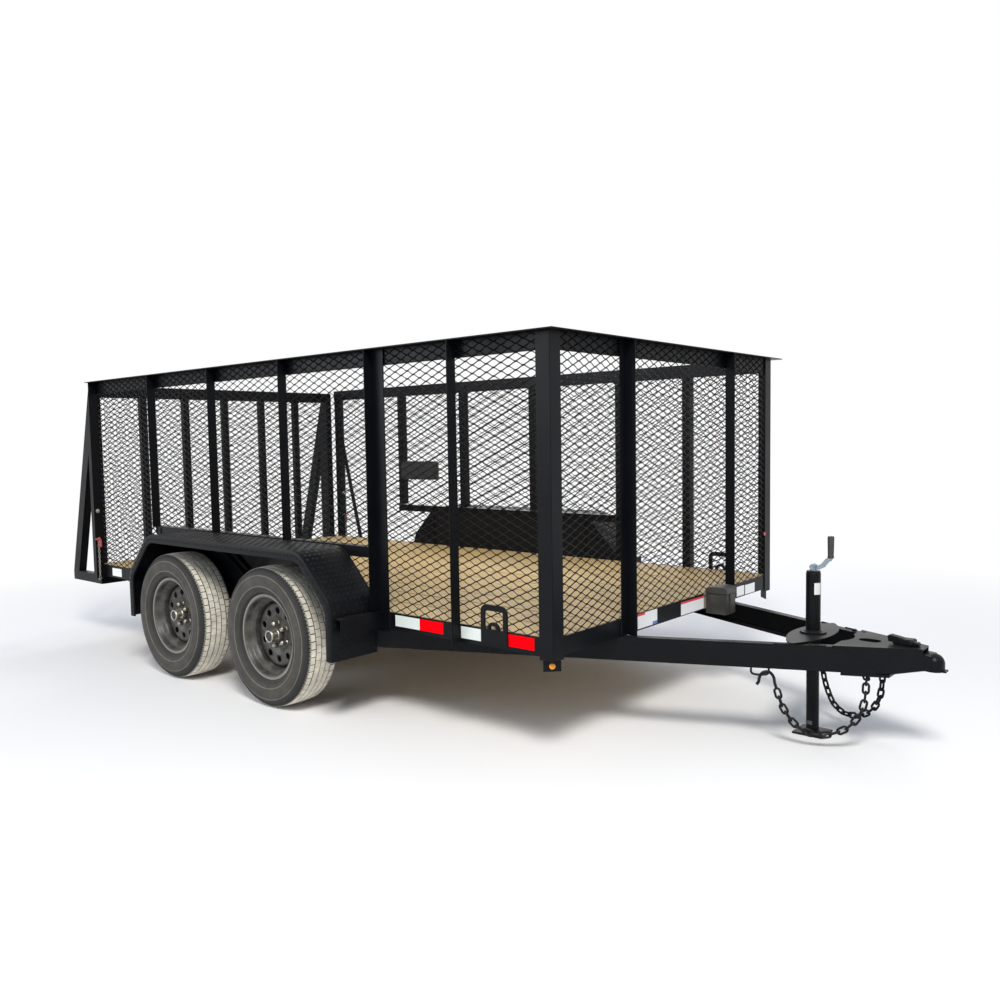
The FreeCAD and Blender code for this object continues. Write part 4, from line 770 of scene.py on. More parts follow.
cast_iron = finish_of("rusty_cast_drum", CAST_GREY, 0.8, 0.2)
rust = between(cast_iron, noise_of(cast_iron, 30.0, 6.0), 0.4, 0.7)
soiled(cast_iron, rust, CAST_GREY, CAST_RUST)
zinc = finish_of("zinc_plate", ZINC, 0.38, 1.0)
zinc_dust = between(zinc, noise_of(zinc, 40.0, 6.0, 0.7), 0.45, 0.75)
soiled(zinc, zinc_dust, ZINC, DUSTY_ZINC, (0.3, 0.62))
chrome = finish_of("chromed_nut", CHROME, 0.34, 1.0)
nut_dust = between(chrome, noise_of(chrome, 55.0, 5.0, 0.7), 0.42, 0.7)
soiled(chrome, nut_dust, CHROME, DUSTY_CHROME, (0.3, 0.65))
plug_rubber = finish_of("rubber_plug", PLUG_BLACK, 0.7)


def hub_mesh():
    """The drum, the cap with its plug, and the nuts, about the wheel's centre."""
    work = bmesh.new()
    drum = [(0.036, 0.058), (0.036, 0.020), (DRUM_RADIUS - 0.007, 0.019), (DRUM_RADIUS - 0.007, 0.068)]
    drum += [(DRUM_RADIUS - 0.002, 0.070), (DRUM_RADIUS, 0.068), (DRUM_RADIUS, 0.015)]
    drum += [(DRUM_RADIUS - 0.004, 0.012), (0.074, 0.012), (0.074, 0.001), (PILOT_RADIUS - 0.001, 0.001)]
    drum += [(PILOT_RADIUS - 0.001, -0.018), (PILOT_RADIUS - 0.003, -0.023), (CAP_RADIUS, -0.024)]
    drum += [(CAP_RADIUS, -0.020), (0.018, -0.020), (0.018, 0.058)]
    turned(work, drum, 64)
    cap = [(0.0, CAP_REACH + 0.010), (0.023, CAP_REACH + 0.010), (0.0235, CAP_REACH + 0.002)]
    cap += [(0.0255, CAP_REACH), (0.0285, CAP_REACH + 0.0005), (0.0305, CAP_REACH + 0.003)]
    cap += [(0.0310, CAP_REACH + 0.010), (0.0310, -0.034), (0.0325, -0.032), (0.0335, -0.028)]
    cap.append((0.0330, -0.023))
    turned(work, cap, 48, 1, closed=False)
    plug = [(0.0, CAP_REACH + 0.0035), (0.014, CAP_REACH + 0.0035), (0.0165, CAP_REACH + 0.005)]
    plug += [(0.0228, CAP_REACH + 0.0052), (0.0228, CAP_REACH + 0.011)]
    turned(work, plug, 40, 3, closed=False)
    seat = DISC_SEAT - 0.006
    for index in range(NUTS):
        angle = 2 * math.pi * (index + 0.5) / NUTS
        x, z = NUT_CIRCLE * math.cos(angle), NUT_CIRCLE * math.sin(angle)
        for out, foot, long, sides, top in (
            (seat + 0.003, NUT_RADIUS * 0.75, 0.006, 24, NUT_RADIUS * 1.05),
            (seat - NUT_LONG * 0.4, NUT_RADIUS, NUT_LONG * 0.8, 6, NUT_RADIUS),
            (seat - NUT_LONG * 0.9, NUT_RADIUS * 0.6, NUT_LONG * 0.2, 18, NUT_RADIUS * 0.88),
        ):
            disc_in(work, (x, out, z), foot, long, sides, 2, "Y", top)
    bmesh.ops.remove_doubles(work, verts=work.verts, dist=1e-6)
    sealed(work, 35)
    return mesh_of("hub", work, [cast_iron, zinc, chrome, plug_rubber])


at_wheels("hub_with_nuts", hub_mesh(), "hub")

# The axles and springs.
# Two round steel axles lie on slipper-eye leaf springs under the side rails, held by U-bolts. The
# springs hang from pressed hangers, with an equalizer between the two of a side. All is painted.
LEAVES = 4
LEAF_WIDE = 0.045
LEAF_THICK = 0.006
LEAF_SHORTER = 0.23
SPRING_HALF = 0.32
SPRING_EYE = 0.016
EYE_DROP = 0.062
AXLE_RADIUS = 0.030
GEAR_BLACK = (0.014, 0.014, 0.015)
U_BOLT_RADIUS = 0.006
U_BOLT_BEND = 0.012
U_BOLT_OFFSET = 0.045
running_gear = coated("running_gear_paint", GEAR_BLACK, 0.45, 0.9)

for axle in ("axle_front", "axle_rear"):
    eased(axle, running_gear, edge=0.0008)
eased("spring_hangers", running_gear)


def tube_in(work, points, radius, sides=10, slot=0, closed=False):
    """Adds a round bar that follows points, with flat ends. A list of radii gives one a point."""
    points = [Vector(point) for point in points]
    total = len(points)
    radii = radius if isinstance(radius, list) else [radius] * total
    rings, across = [], None
    for index, point in enumerate(points):
        before = points[index - 1] if index or closed else point
        after = points[(index + 1) % total] if index < total - 1 or closed else point
        ahead = (after - before).normalized()
        if across is None:
            across = ahead.orthogonal().normalized()
        across = (across - ahead * across.dot(ahead)).normalized()
        up = ahead.cross(across)
        ring = []
        for side in range(sides):
            angle = 2 * math.pi * side / sides
            out = across * math.cos(angle) + up * math.sin(angle)
            ring.append(work.verts.new(point + out * radii[index]))
        rings.append(ring)
    for one, two in zip(rings, rings[1:] + rings[:1] if closed else rings[1:]):
        band_in(work, one, two, slot, True)
    if not closed:
        for ring in (rings[0][::-1], rings[-1]):
            work.faces.new(ring).material_index = slot


def spring_in(work, middle, spring_y):
    """Adds one pack of leaves over an axle's middle, with its eyes, U-bolts and tie plate."""
    eye_z = rail_low.z - EYE_DROP
    sag = eye_z - (middle.z - AXLE_RADIUS - 0.005)
    for leaf in range(LEAVES):
        reach = SPRING_HALF * (1 - LEAF_SHORTER * leaf)
        arc = []
        for index in range(17):
            along_by = (index / 8 - 1) * reach
            z = eye_z - sag * (1 - (along_by / SPRING_HALF) ** 2) - leaf * LEAF_THICK
            arc.append((middle.x + along_by, spring_y - LEAF_WIDE / 2, z))
        arc += [(x, y, z - LEAF_THICK * 0.94) for x, y, z in reversed(arc)]
        slab_in(work, arc, (0, LEAF_WIDE, 0))
    for end in (-SPRING_HALF, SPRING_HALF):
        disc_in(work, (middle.x + end, spring_y, eye_z), SPRING_EYE, LEAF_WIDE, 24, 0, "Y")
    crown = middle.z + AXLE_RADIUS + U_BOLT_RADIUS
    inset = LEAF_WIDE / 2 + U_BOLT_RADIUS
    bow = [(-inset, middle.z - AXLE_RADIUS - 0.042), (-inset, crown - U_BOLT_BEND)]
    bow.append((U_BOLT_BEND - inset, crown))
    bow += [(-y, z) for y, z in reversed(bow)]
    for x in (middle.x - U_BOLT_OFFSET, middle.x + U_BOLT_OFFSET):
        tube_in(work, [(x, spring_y + y, z) for y, z in bow], U_BOLT_RADIUS)
    tie_low = middle.z - AXLE_RADIUS - 0.036
    low = (middle.x - 0.06, spring_y - 0.038, tie_low)
    box_in(work, low, (middle.x + 0.06, spring_y + 0.038, tie_low + 0.007))


springs = bmesh.new()
for side in (-1, 1):
    for axle in ("axle_front", "axle_rear"):
        axle_middle = (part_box(axle)[0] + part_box(axle)[1]) / 2
        spring_in(springs, axle_middle, side * (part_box("leaf_springs")[1].y - LEAF_WIDE / 2))
sealed(springs, 35)
shown("leaf_spring_packs", springs, [running_gear], node="leaf_springs")

# The tongue.
# Two 4-inch channels run under the bed and meet in the coupler, with a flat plate under their
# noses for the chains and a plate across them for the jack. All is welded and sprayed black.
TONGUE_APEX = 1.163
TONGUE_NOSE = 0.860
TONGUE_SLOPE = math.tan(math.radians(24))
for bar in ("tongue_right", "tongue_left", "jack_plate", "chain_plate"):
    eased(bar, black_coat)
bed_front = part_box("front_rail")[1].x
channel_foot, channel_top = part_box("tongue_right")[0].z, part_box("tongue_right")[1].z

# The coupler.
# A pressed A-frame coupler for a ball, welded over the channels' ends. A sprung latch with a lift
# lever stands on it, behind the socket.
CHANNEL_WEB = 0.006
FLAP_SLOPE = 0.465
LEVER_WIDE = 0.031
eased("coupler", black_coat, edge=0.001)
eased("coupler_latch", black_coat, edge=0.003, rounds=3)
nose = bmesh.new()
nose_x = bed_front + TONGUE_NOSE
nose_y = (TONGUE_APEX - TONGUE_NOSE) * TONGUE_SLOPE
for side in (-1, 1):
    web = [(-0.006, 0.0), (0.040, 0.0), (0.100, 0.006), (0.100, 0.024), (-0.006, 0.086)]
    web = [(nose_x + x, side * (nose_y - FLAP_SLOPE * x), channel_foot + z) for x, z in web]
    slab_in(nose, web, (0, -side * CHANNEL_WEB, 0))
latch_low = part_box("coupler_latch")[0]
lever = [(-0.016, 0.010), (-0.020, 0.032), (-0.010, 0.036), (0.046, 0.026), (0.082, 0.012)]
lever.append((0.082, 0.004))
lever = [(latch_low.x + x, -LEVER_WIDE / 2, latch_low.z + z) for x, z in lever]
slab_in(nose, lever, (0, LEVER_WIDE, 0))
pin_x, pin_z = latch_low.x + 0.070, latch_low.z + 0.015
disc_in(nose, (pin_x, 0, pin_z), 0.006, 0.062, 16, 0, "Y")
for y in (-0.030, 0.030):
    disc_in(nose, (pin_x, y, pin_z), 0.0095, 0.006, 6, 0, "Y")
for back in (0.742, 0.790):
    y = (TONGUE_APEX - back) * TONGUE_SLOPE - 0.020
    disc_in(nose, (bed_front + back, y, channel_top + 0.004), 0.009, 0.008, 6, 0, "Z", 0.008)
sealed(nose, 30)
shown("coupler_webs_and_lever", nose, [black_coat])

# The welds.
# Short beads of weld hold the posts to the rails, the channels to the frame and the plates to the
# channels. They were sprayed with the frame; the beads at the posts' heads are painted paler as a highlight.
WELD_RADIUS = 0.0034
WELD_RIPPLE = 0.0025
WELD_INSET = 0.006
WELD_HIGHLIGHT_GREY = (0.10, 0.10, 0.10)
weld_highlight = finish_of("painted_highlight_weld", WELD_HIGHLIGHT_GREY, 0.5, 0.4)
wall_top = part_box("top_rail_right")[1].z
wall_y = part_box("side_rail_left")[1].y


def weld_in(work, start, end, slot=0):
    """Adds a bead between two points, rippled as the puddle froze."""
    start, end = Vector(start), Vector(end)
    count = max(int((end - start).length / WELD_RIPPLE), 3)
    spots = [start.lerp(end, index / count) for index in range(count + 1)]
    swells = [WELD_RADIUS * (1.14 if index % 2 else 0.92) for index in range(count + 1)]
    swells[0] = swells[-1] = WELD_RADIUS * 0.4
    tube_in(work, spots, swells, 8, slot)


welds = bmesh.new()
rail_welds = rail_low.z + WELD_INSET, rail_high.z - WELD_INSET
arch_welds = arch[0].z + WELD_INSET, arch[1].z - WELD_INSET
post_places = [(-0.4850, -0.050, rail_welds), (-0.9950, 0.076, rail_welds)]
post_places += [(-3.6600, -0.050, rail_welds), (-1.6350, -0.050, arch_welds)]
post_places += [(-2.2750, -0.050, arch_welds), (-2.9150, -0.050, arch_welds)]
for side in (-1, 1):
    skin = side * (wall_y + 0.0015)
    crest = wall_top - 0.0055
    for back, leg, (low, high) in post_places:
        for x in (bed_front + back, bed_front + back + leg):
            weld_in(welds, (x, skin, low), (x, skin, high))
        # The bead across each post's head takes the paler finish: a painted highlight of light on the posts'
        # tops.
        x = bed_front + back - 0.006
        out = side * (wall_y + 0.008)
        weld_in(welds, (x, out, crest), (x, out + side * 0.040, crest), 1)
    x = bed_front + 0.0015
    for y in (0.461, 0.511):
        weld_in(welds, (x, side * y, rail_welds[0]), (x, side * y, rail_welds[1]))
    for x in (bed_front - 0.002, bed_front - 0.900):
        reach = wall_y - 0.006
        foot = rail_low.z - 0.001
        weld_in(welds, (x, side * (reach - 0.03), foot), (x, side * reach, foot))
    for back in (0.566, 0.690):
        y = (TONGUE_APEX - back) * TONGUE_SLOPE - 0.004
        end_y = y - 0.060 * TONGUE_SLOPE
        start = (bed_front + back, side * y, channel_top + 0.001)
        weld_in(welds, start, (bed_front + back + 0.060, side * end_y, channel_top + 0.001))
shown("frame_welds", welds, [black_coat, weld_highlight])

# The jack.
# A round top-wind jack: a black tube in the tongue's plate, a smaller leg with a square foot that
# slides in it, and a zinc-plated crank with a black grip. A blank sticker is on tube and leg.
GRIP_BLACK = (0.03, 0.03, 0.032)
STICKER_WHITE = (0.70, 0.70, 0.68)
STICKER_WORN = (0.06, 0.065, 0.075)
CRANK_ZINC = (0.30, 0.37, 0.43)
FOOT_THICK = 0.008
JACK_SIDES = 48
CRANK_BAR = (0.0095, 0.0045)
grip_plastic = finish_of("grip_plastic", GRIP_BLACK, 0.55)
relief(grip_plastic, noise_of(grip_plastic, 200.0, 2.0), 0.2, 0.0005)
sticker_paper = finish_of("blank_sticker", STICKER_WHITE, 0.4)
jack_low, jack_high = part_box("jack_tube")
jack_x = (jack_low.x + jack_high.x) / 2
jack_radius = (jack_high.x - jack_low.x) / 2


def upright_in(work, outline, sides=JACK_SIDES, slot=0, closed=True, x=jack_x):
    """Turns an outline of (radius, height) points about an upright line, mostly the jack's own."""
    turned(work, outline, sides, slot, closed, (x, 0, 0), (0, 0, 1))


def sticker_in(work, radius, low, high, start, end):
    """Adds a blank sticker wrapped round the tube from one angle to another, in degrees."""
    near, far = [], []
    for index in range(11):
        angle = math.radians(start + (end - start) * index / 10)
        for ring, reach in ((near, radius - 0.0002), (far, radius + 0.0004)):
            ring.append((jack_x + reach * math.cos(angle), reach * math.sin(angle), low))
    slab_in(work, near + far[::-1], (0, 0, high - low), 1)


outer_tube = bmesh.new()
tube_wall = [(-0.0035, jack_low.z), (-0.001, jack_low.z), (0, jack_low.z + 0.001)]
tube_wall += [(0, jack_high.z - 0.010), (-0.0015, jack_high.z - 0.008), (-0.0015, jack_high.z - 0.002)]
tube_wall += [(-0.004, jack_high.z), (-jack_radius, jack_high.z), (-jack_radius, jack_high.z - 0.008)]
tube_wall.append((-0.0035, jack_high.z - 0.008))
plate_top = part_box("jack_plate")[1].z
bead = [(-0.001, plate_top - 0.001), (0.006, plate_top - 0.001), (0.005, plate_top + 0.003)]
bead.append((-0.001, plate_top + 0.006))
for outline in (tube_wall, bead):
    upright_in(outer_tube, [(jack_radius + out, z) for out, z in outline])
sticker_in(outer_tube, jack_radius, jack_high.z - 0.098, jack_high.z - 0.049, -62, -2)
sealed(outer_tube, 35)
tube_finish = [black_coat, sticker_paper]
shown("jack_outer_tube", outer_tube, tube_finish, node="jack_tube")

leg_low, leg_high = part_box("jack_leg")
leg = bmesh.new()
leg_radius = jack_radius - 0.0038
foot_top = leg_low.z + FOOT_THICK
leg_wall = [(leg_radius - 0.004, foot_top), (leg_radius, foot_top), (leg_radius, leg_high.z)]
upright_in(leg, leg_wall + [(leg_radius - 0.004, leg_high.z)])
foot = box_in(leg, leg_low, (leg_high.x, leg_high.y, foot_top))
bevelled(leg, {line for corner in foot for line in corner.link_edges}, 0.0015)
weld_wall = [(leg_radius, foot_top - 0.001), (leg_radius + 0.007, foot_top - 0.001)]
upright_in(leg, weld_wall + [(leg_radius, foot_top + 0.007)])
sticker_in(leg, leg_radius, leg_low.z + 0.040, leg_low.z + 0.056, -133, -72)
sealed(leg, 35)
worn_paper = finish_of("worn_sticker", STICKER_WORN, 0.5)
shown("jack_inner_leg", leg, [black_coat, worn_paper], "jack", "jack_leg")

crank_zinc = finish_of("bright_zinc", CRANK_ZINC, 0.32, 1.0)
feed(crank_zinc, "Roughness", between(crank_zinc, noise_of(crank_zinc, 60.0, 5.0), 0.3, 0.7, 0.22, 0.45))
crank_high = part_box("jack_crank")[1]
crank = bmesh.new()
head_z = jack_high.z + 0.016
spindle_wall = [(0.0, jack_high.z), (0.014, jack_high.z), (0.014, jack_high.z + 0.006)]
spindle_wall += [(0.009, jack_high.z + 0.008), (0.009, head_z + 0.010), (0.006, head_z + 0.012)]
spindle_wall.append((0.0, head_z + 0.012))
upright_in(crank, spindle_wall, 32, closed=False)
disc_in(crank, (jack_x, 0, head_z), 0.013, 0.028, 24, 0, "Y")
disc_in(crank, (jack_x, 0, head_z), 0.008, 0.038, 6, 0, "Y")
grip_x = crank_high.x - 0.014
grip_base = jack_high.z + 0.057
arm = [(jack_x, head_z), (jack_x + 0.022, head_z - 0.001), (jack_x + 0.040, head_z + 0.008)]
arm += [(grip_x - 0.014, grip_base - 0.010), (grip_x - 0.004, grip_base - 0.004)]
arm.append((grip_x, grip_base + 0.004))
bars = []
for index, (x, z) in enumerate(arm):
    before, after = arm[max(index - 1, 0)], arm[min(index + 1, len(arm) - 1)]
    rise = Vector((before[1] - after[1], after[0] - before[0])).normalized()
    bar = []
    for over, wide in ((1, 1), (1, -1), (-1, -1), (-1, 1)):
        up = rise * over * CRANK_BAR[0]
        bar.append(crank.verts.new((x + up.x, wide * CRANK_BAR[1], z + up.y)))
    bars.append(bar)
for one, two in zip(bars, bars[1:]):
    band_in(crank, one, two)
crank.faces.new(bars[0])
crank.faces.new(bars[-1])
grip = [(0.0, grip_base), (0.0105, grip_base), (0.0135, grip_base + 0.003), (0.0120, grip_base + 0.012)]
grip += [(0.0128, grip_base + 0.045), (0.0135, crank_high.z - 0.006), (0.0125, crank_high.z - 0.001)]
grip += [(0.0100, crank_high.z), (0.0, crank_high.z)]
upright_in(crank, grip, 28, 1, False, grip_x)
sealed(crank, 40)
shown("jack_crank_handle", crank, [crank_zinc, grip_plastic], node="jack_crank")

# The safety chains.
# One welded-link chain from each side of the plate under the noses, its hook put away in a bent
# rod under the channel. The links are 3/8-inch wire under the trailer's black paint.
LINK_WIRE = 0.0048
LINK_PITCH = 0.0335
LINK_HALF_WIDE = 0.0110
HOOK_WIRE = 0.0062
ROD_WIRE = 0.0045
CHAIN_BLACK = (0.010, 0.010, 0.012)
chain_paint = coated("chain_paint", CHAIN_BLACK, 0.38, 0.4)


def smooth_line(knots, steps):
    """Points on a smooth curve through knots."""
    ends = [2 * knots[0] - knots[1]] + knots + [2 * knots[-1] - knots[-2]]
    line = []
    for a, b, c, d in zip(ends, ends[1:], ends[2:], ends[3:]):
        for index in range(steps):
            t = index / steps
            bend = 2 * b + (c - a) * t + (2 * a - 5 * b + 4 * c - d) * t * t
            line.append((bend + (3 * b - a - 3 * c + d) * t**3) / 2)
    line.append(knots[-1])
    return line


def link_in(work, middle, ahead, flat):
    """Adds one welded link that lies along ahead and flat."""
    loop = []
    straight = LINK_PITCH / 2 + LINK_WIRE - LINK_HALF_WIDE
    for end_side in (1, -1):
        for bend in range(7):
            angle = math.pi * bend / 6
            reach = ahead * end_side * (straight + LINK_HALF_WIDE * math.sin(angle))
            loop.append(middle + reach + flat * end_side * LINK_HALF_WIDE * math.cos(angle))
    tube_in(work, loop, LINK_WIRE, 8, closed=True)


chains = bmesh.new()
hang = [(0.883, 0.100, 0.309), (0.872, 0.108, 0.180), (0.822, 0.130, 0.094), (0.728, 0.165, 0.052)]
hang += [(0.649, 0.200, 0.076), (0.598, 0.232, 0.153), (0.575, 0.247, 0.233), (0.566, 0.249, 0.262)]
hook = [(0.566, 0.247, -0.062), (0.563, 0.249, -0.040), (0.552, 0.254, -0.022)]
hook += [(0.537, 0.262, -0.017), (0.522, 0.272, -0.024), (0.514, 0.278, -0.042)]
hook += [(0.512, 0.280, -0.058), (0.505, 0.284, -0.070)]
rod = [(0.545, 0.258, 0.003), (0.545, 0.258, -0.020), (0.533, 0.264, -0.0295)]
rod += [(0.497, 0.283, -0.0295), (0.484, 0.290, -0.020), (0.484, 0.290, 0.003)]
anchor = [(0.893, 0.112, -0.010), (0.893, 0.104, -0.026), (0.883, 0.100, -0.030)]
anchor += [(0.873, 0.104, -0.026), (0.873, 0.112, -0.010)]
for side in (-1, 1):
    line = smooth_line([Vector((bed_front + x, side * y, z)) for x, y, z in hang], 60)
    spots, walked = [line[0]], 0.0
    for one, two in zip(line, line[1:]):
        walked += (two - one).length
        if walked >= LINK_PITCH:
            spots.append(two)
            walked = 0.0
    for index, (one, two) in enumerate(zip(spots, spots[1:])):
        ahead = (two - one).normalized()
        aside = ahead.cross(Vector((0.3, side, 0.2))).normalized()
        link_in(chains, (one + two) / 2, ahead, aside if index % 2 else ahead.cross(aside))
    for begin, bend, wire in ((spots[-1:], hook, HOOK_WIRE), ([], rod, ROD_WIRE), ([], anchor, ROD_WIRE)):
        bent = [Vector((bed_front + x, side * y, channel_foot + z)) for x, y, z in bend]
        tube_in(chains, smooth_line(begin + bent, 4), wire)
smoothed(chains, 60)
shown("welded_chains", chains, [chain_paint], node="safety_chains")

# The battery box and the wall case.
# A moulded box for the breakaway battery stands on the front rail on a pale strip, with a lid over
# its top. A flat case of smooth black plastic is screwed to the inside of the left wall.
BOX_GREY = (0.020, 0.020, 0.019)
BOX_SCUFFED = (0.055, 0.053, 0.047)
BOX_BEIGE = (0.24, 0.225, 0.17)
CASE_BLACK = (0.008, 0.008, 0.009)
LID_HIGH = 0.034
LID_INSET = 0.005
box_plastic = finish_of("battery_box_plastic", BOX_GREY, 0.5)
scuffs = between(box_plastic, noise_of(box_plastic, 12.0, 5.0), 0.4, 0.75)
soiled(box_plastic, scuffs, BOX_GREY, BOX_SCUFFED)
pale_plastic = finish_of("pale_plastic", BOX_BEIGE, 0.5)
case_plastic = finish_of("case_plastic", CASE_BLACK, 0.45)
for moulded in (box_plastic, case_plastic):
    relief(moulded, noise_of(moulded, 240.0, 2.0), 0.3, 0.0006)
box_low, box_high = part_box("battery_box")
battery = bmesh.new()
lid_z = box_high.z - LID_HIGH
low = (box_low.x, box_low.y + LID_INSET, box_low.z)
box_in(battery, low, (box_high.x - LID_INSET, box_high.y - LID_INSET, lid_z))
lid = [(0, 0), (0, 0.022), (0.016, 0.030), (0.060, 0.034), (0.096, 0.033), (0.109, 0.027)]
lid += [(0.114, 0.016), (0.114, 0)]
lid = [(box_low.x + x, box_low.y, lid_z + z) for x, z in lid]
slab_in(battery, lid, (0, box_high.y - box_low.y, 0))
bevelled(battery, battery.edges, 0.0025)
front = box_high.x - LID_INSET
ridge_y = box_low.y + 0.040
ridge_low = (front - 0.001, ridge_y, box_low.z + 0.008)
box_in(battery, ridge_low, (front + 0.004, ridge_y + 0.014, lid_z - 0.002))
strip_low = (box_low.x, box_low.y - 0.016, box_low.z + 0.026)
box_in(battery, strip_low, (box_low.x + 0.0025, box_low.y + LID_INSET, lid_z + 0.004), 1)
disc_in(battery, (box_low.x + 0.004, box_low.y - 0.008, lid_z - 0.012), 0.0045, 0.004, 12, 0, "X")
sealed(battery, 40)
box_finish = [box_plastic, pale_plastic]
shown("breakaway_battery_box", battery, box_finish, node="battery_box")

case_low, case_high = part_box("wall_case")
case = bmesh.new()
box_in(case, case_low, case_high)
bevelled(case, case.edges, 0.008, 3)
# A thin strip of paler plastic across the case near its top is a painted highlight.
highlight_strip_low = (case_low.x + 0.012, case_low.y - 0.0004, case_high.z - 0.034)
box_in(case, highlight_strip_low, (case_high.x - 0.012, case_low.y + 0.002, case_high.z - 0.031), 1)
smoothed(case, 40)
shown("wall_case_shell", case, [case_plastic, box_plastic], node="wall_case")

# The lamps.
# Amber marker lamps on small steel plates across the front corners, and red tail lamps in shallow
# housings on the fenders' rear faces.
AMBER = (0.85, 0.33, 0.02)
LAMP_RED = (0.55, 0.01, 0.012)
LAMP_WHITE = (0.62, 0.62, 0.60)
TAIL_WIDE = 0.156
amber_lens = finish_of("amber_lens", AMBER, 0.12)
red_lens = finish_of("red_lens", LAMP_RED, 0.12)
pale_lens = finish_of("pale_lens", LAMP_WHITE, 0.2)
markers = bmesh.new()
for side in (-1, 1):
    out = Vector((1, side, 0)).normalized()
    across = Vector((1, -side, 0)).normalized()
    middle = Vector((bed_front - 0.020, side * (wall_y - 0.020), rail_low.z))
    plate = [(-35, -57), (35, -57), (35, -14), (12, -14), (12, 0), (-12, 0), (-12, -14), (-35, -14)]
    outline = [middle + across * x / 1000 + Vector((0, 0, z / 1000)) for x, z in plate]
    slab_in(markers, outline, -out * 0.004)
    lens = [(0.0125, 0.0), (0.0125, 0.0035), (0.0108, 0.0062), (0.0070, 0.0076), (0.0, 0.0080)]
    turned(markers, lens, 32, 1, False, middle - Vector((0, 0, 0.0355)), out)
sealed(markers, 40)
lamp_finish = [black_coat, amber_lens]
shown("corner_markers", markers, lamp_finish, node="marker_lamps")

tails = bmesh.new()
tail_low, tail_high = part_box("tail_lamps")
tail_deep = tail_high.x - tail_low.x
for side in (-1, 1):
    inner, outer = sorted((side * (tail_high.y - TAIL_WIDE), side * tail_high.y))
    for near, far, inset, slot in ((0.014, tail_deep, 0, 0), (0.010, 0.016, 0.003, 2), (0, 0.012, 0.006, 1)):
        low = (tail_low.x + near, inner + inset, tail_low.z + inset)
        box_in(tails, low, (tail_low.x + far, outer - inset, tail_high.z - inset), slot)
bevelled(tails, tails.edges, 0.0022)
for side in (-1, 1):
    for rib in range(1, 8):
        y = side * (tail_high.y - TAIL_WIDE + rib * TAIL_WIDE / 8)
        low = (tail_low.x - 0.0008, y - 0.001, tail_low.z + 0.012)
        box_in(tails, low, (tail_low.x + 0.002, y + 0.001, tail_high.z - 0.012), 1)
smoothed(tails, 40)
tail_finish = [black_coat, red_lens, pale_lens]
shown("tail_lamp_units", tails, tail_finish, node="tail_lamps")

# The tie-downs.
# A loop of heavy flat steel on each side rail for straps, with a bent round bar welded in it.
eased("tie_downs", black_coat, edge=0.0028, rounds=3)

# The gate.
# A ramp as high as the walls: a bottom bar on two pins, uprights, a head bar, mesh, and a braced
# foot at each side. A bolt and a pin on a short chain lock it to the rear posts.
PIN_RED = (0.50, 0.05, 0.06)
BOLT_HIGH = 0.850
PIN_HIGH = 0.668
CHAIN_FOOT = 0.412
PIN_WIRE = 0.0062
for bar in ("gate_sill", "gate_uprights", "gate_head", "gate_truss_right", "gate_truss_left"):
    eased(bar, black_coat, "gate")
eased("gate_hinges", black_coat)
red_tip = finish_of("red_pin_tip", PIN_RED, 0.45)
latch = bmesh.new()
leg_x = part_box("posts_right")[0].x + 0.050
for side in (-1, 1):
    leg_y = side * (wall_y + 0.027)
    disc_in(latch, (leg_x + 0.001, leg_y, BOLT_HIGH), 0.013, 0.003, 20, 0, "X")
    disc_in(latch, (leg_x + 0.006, leg_y, BOLT_HIGH), 0.0095, 0.008, 6, 0, "X")
    disc_in(latch, (leg_x + 0.001, leg_y, PIN_HIGH), 0.011, 0.003, 20, 0, "X")
    pin = [(-0.030, 0.0), (0.012, 0.0), (0.021, -0.004), (0.024, -0.014), (0.024, -0.050)]
    pin = [Vector((leg_x + out, leg_y, PIN_HIGH + up)) for out, up in pin]
    tube_in(latch, pin[:3], 0.0055)
    tube_in(latch, pin[2:], PIN_WIRE, 10, 1)
    tube_in(latch, [pin[2], pin[2] + Vector((0, side * 0.030, 0.006))], PIN_WIRE, 10, 1)
    for link in range(15):
        middle = Vector((leg_x + 0.0075, leg_y + side * 0.006, PIN_HIGH - 0.012 - 0.0165 * link))
        flat = Vector((1, 0, 0)) if link % 2 else Vector((0, 1, 0))
        loop = []
        for bend in range(10):
            angle = 2 * math.pi * bend / 10
            reach = Vector((0, 0, 0.0105)) * math.cos(angle)
            loop.append(middle + reach + flat * 0.0055 * math.sin(angle))
        tube_in(latch, loop, 0.0014, 6, closed=True)
    disc_in(latch, (leg_x + 0.006, leg_y + side * 0.006, CHAIN_FOOT), 0.010, 0.012, 6, 0, "X")
smoothed(latch, 40)
shown("gate_latch_pins", latch, [zinc, red_tip])

# The reflective tape and the blank labels.
# Two-inch conspicuity tape in six-inch lengths of white and red along both side rails, and blank
# printed stickers on the front rail and the right side rail.
TAPE_HIGH = 0.050
TAPE_THICK = 0.0006
TAPE_WHITE = (0.68, 0.74, 0.70)
TAPE_RED = (0.86, 0.0, 0.004)
TAPE_SPECULAR = 0.02
LABEL_WHITE = (0.90, 0.91, 0.90)
LABEL_RED = (0.75, 0.06, 0.08)
LABEL_BLUE = (0.10, 0.20, 0.50)
white_tape = finish_of("white_reflective_tape", TAPE_WHITE, 0.3)
red_tape = finish_of("red_reflective_tape", TAPE_RED, 0.5)
red_tape.node_tree.nodes["Principled BSDF"].inputs["Specular IOR Level"].default_value = TAPE_SPECULAR
tape = bmesh.new()
tape_z = rail_low.z + 0.043
for side in (-1, 1):
    inner, outer = sorted((side * wall_y, side * (wall_y + TAPE_THICK)))
    for start, end, slot in (
        (-0.884, -0.730, 0),
        (-0.730, -0.586, 1),
        (-0.486, -0.346, 0),
        (-0.247, -0.091, 1),
    ):
        low = (bed_front + start, inner, tape_z - TAPE_HIGH / 2)
        box_in(tape, low, (bed_front + end, outer, tape_z + TAPE_HIGH / 2), slot)
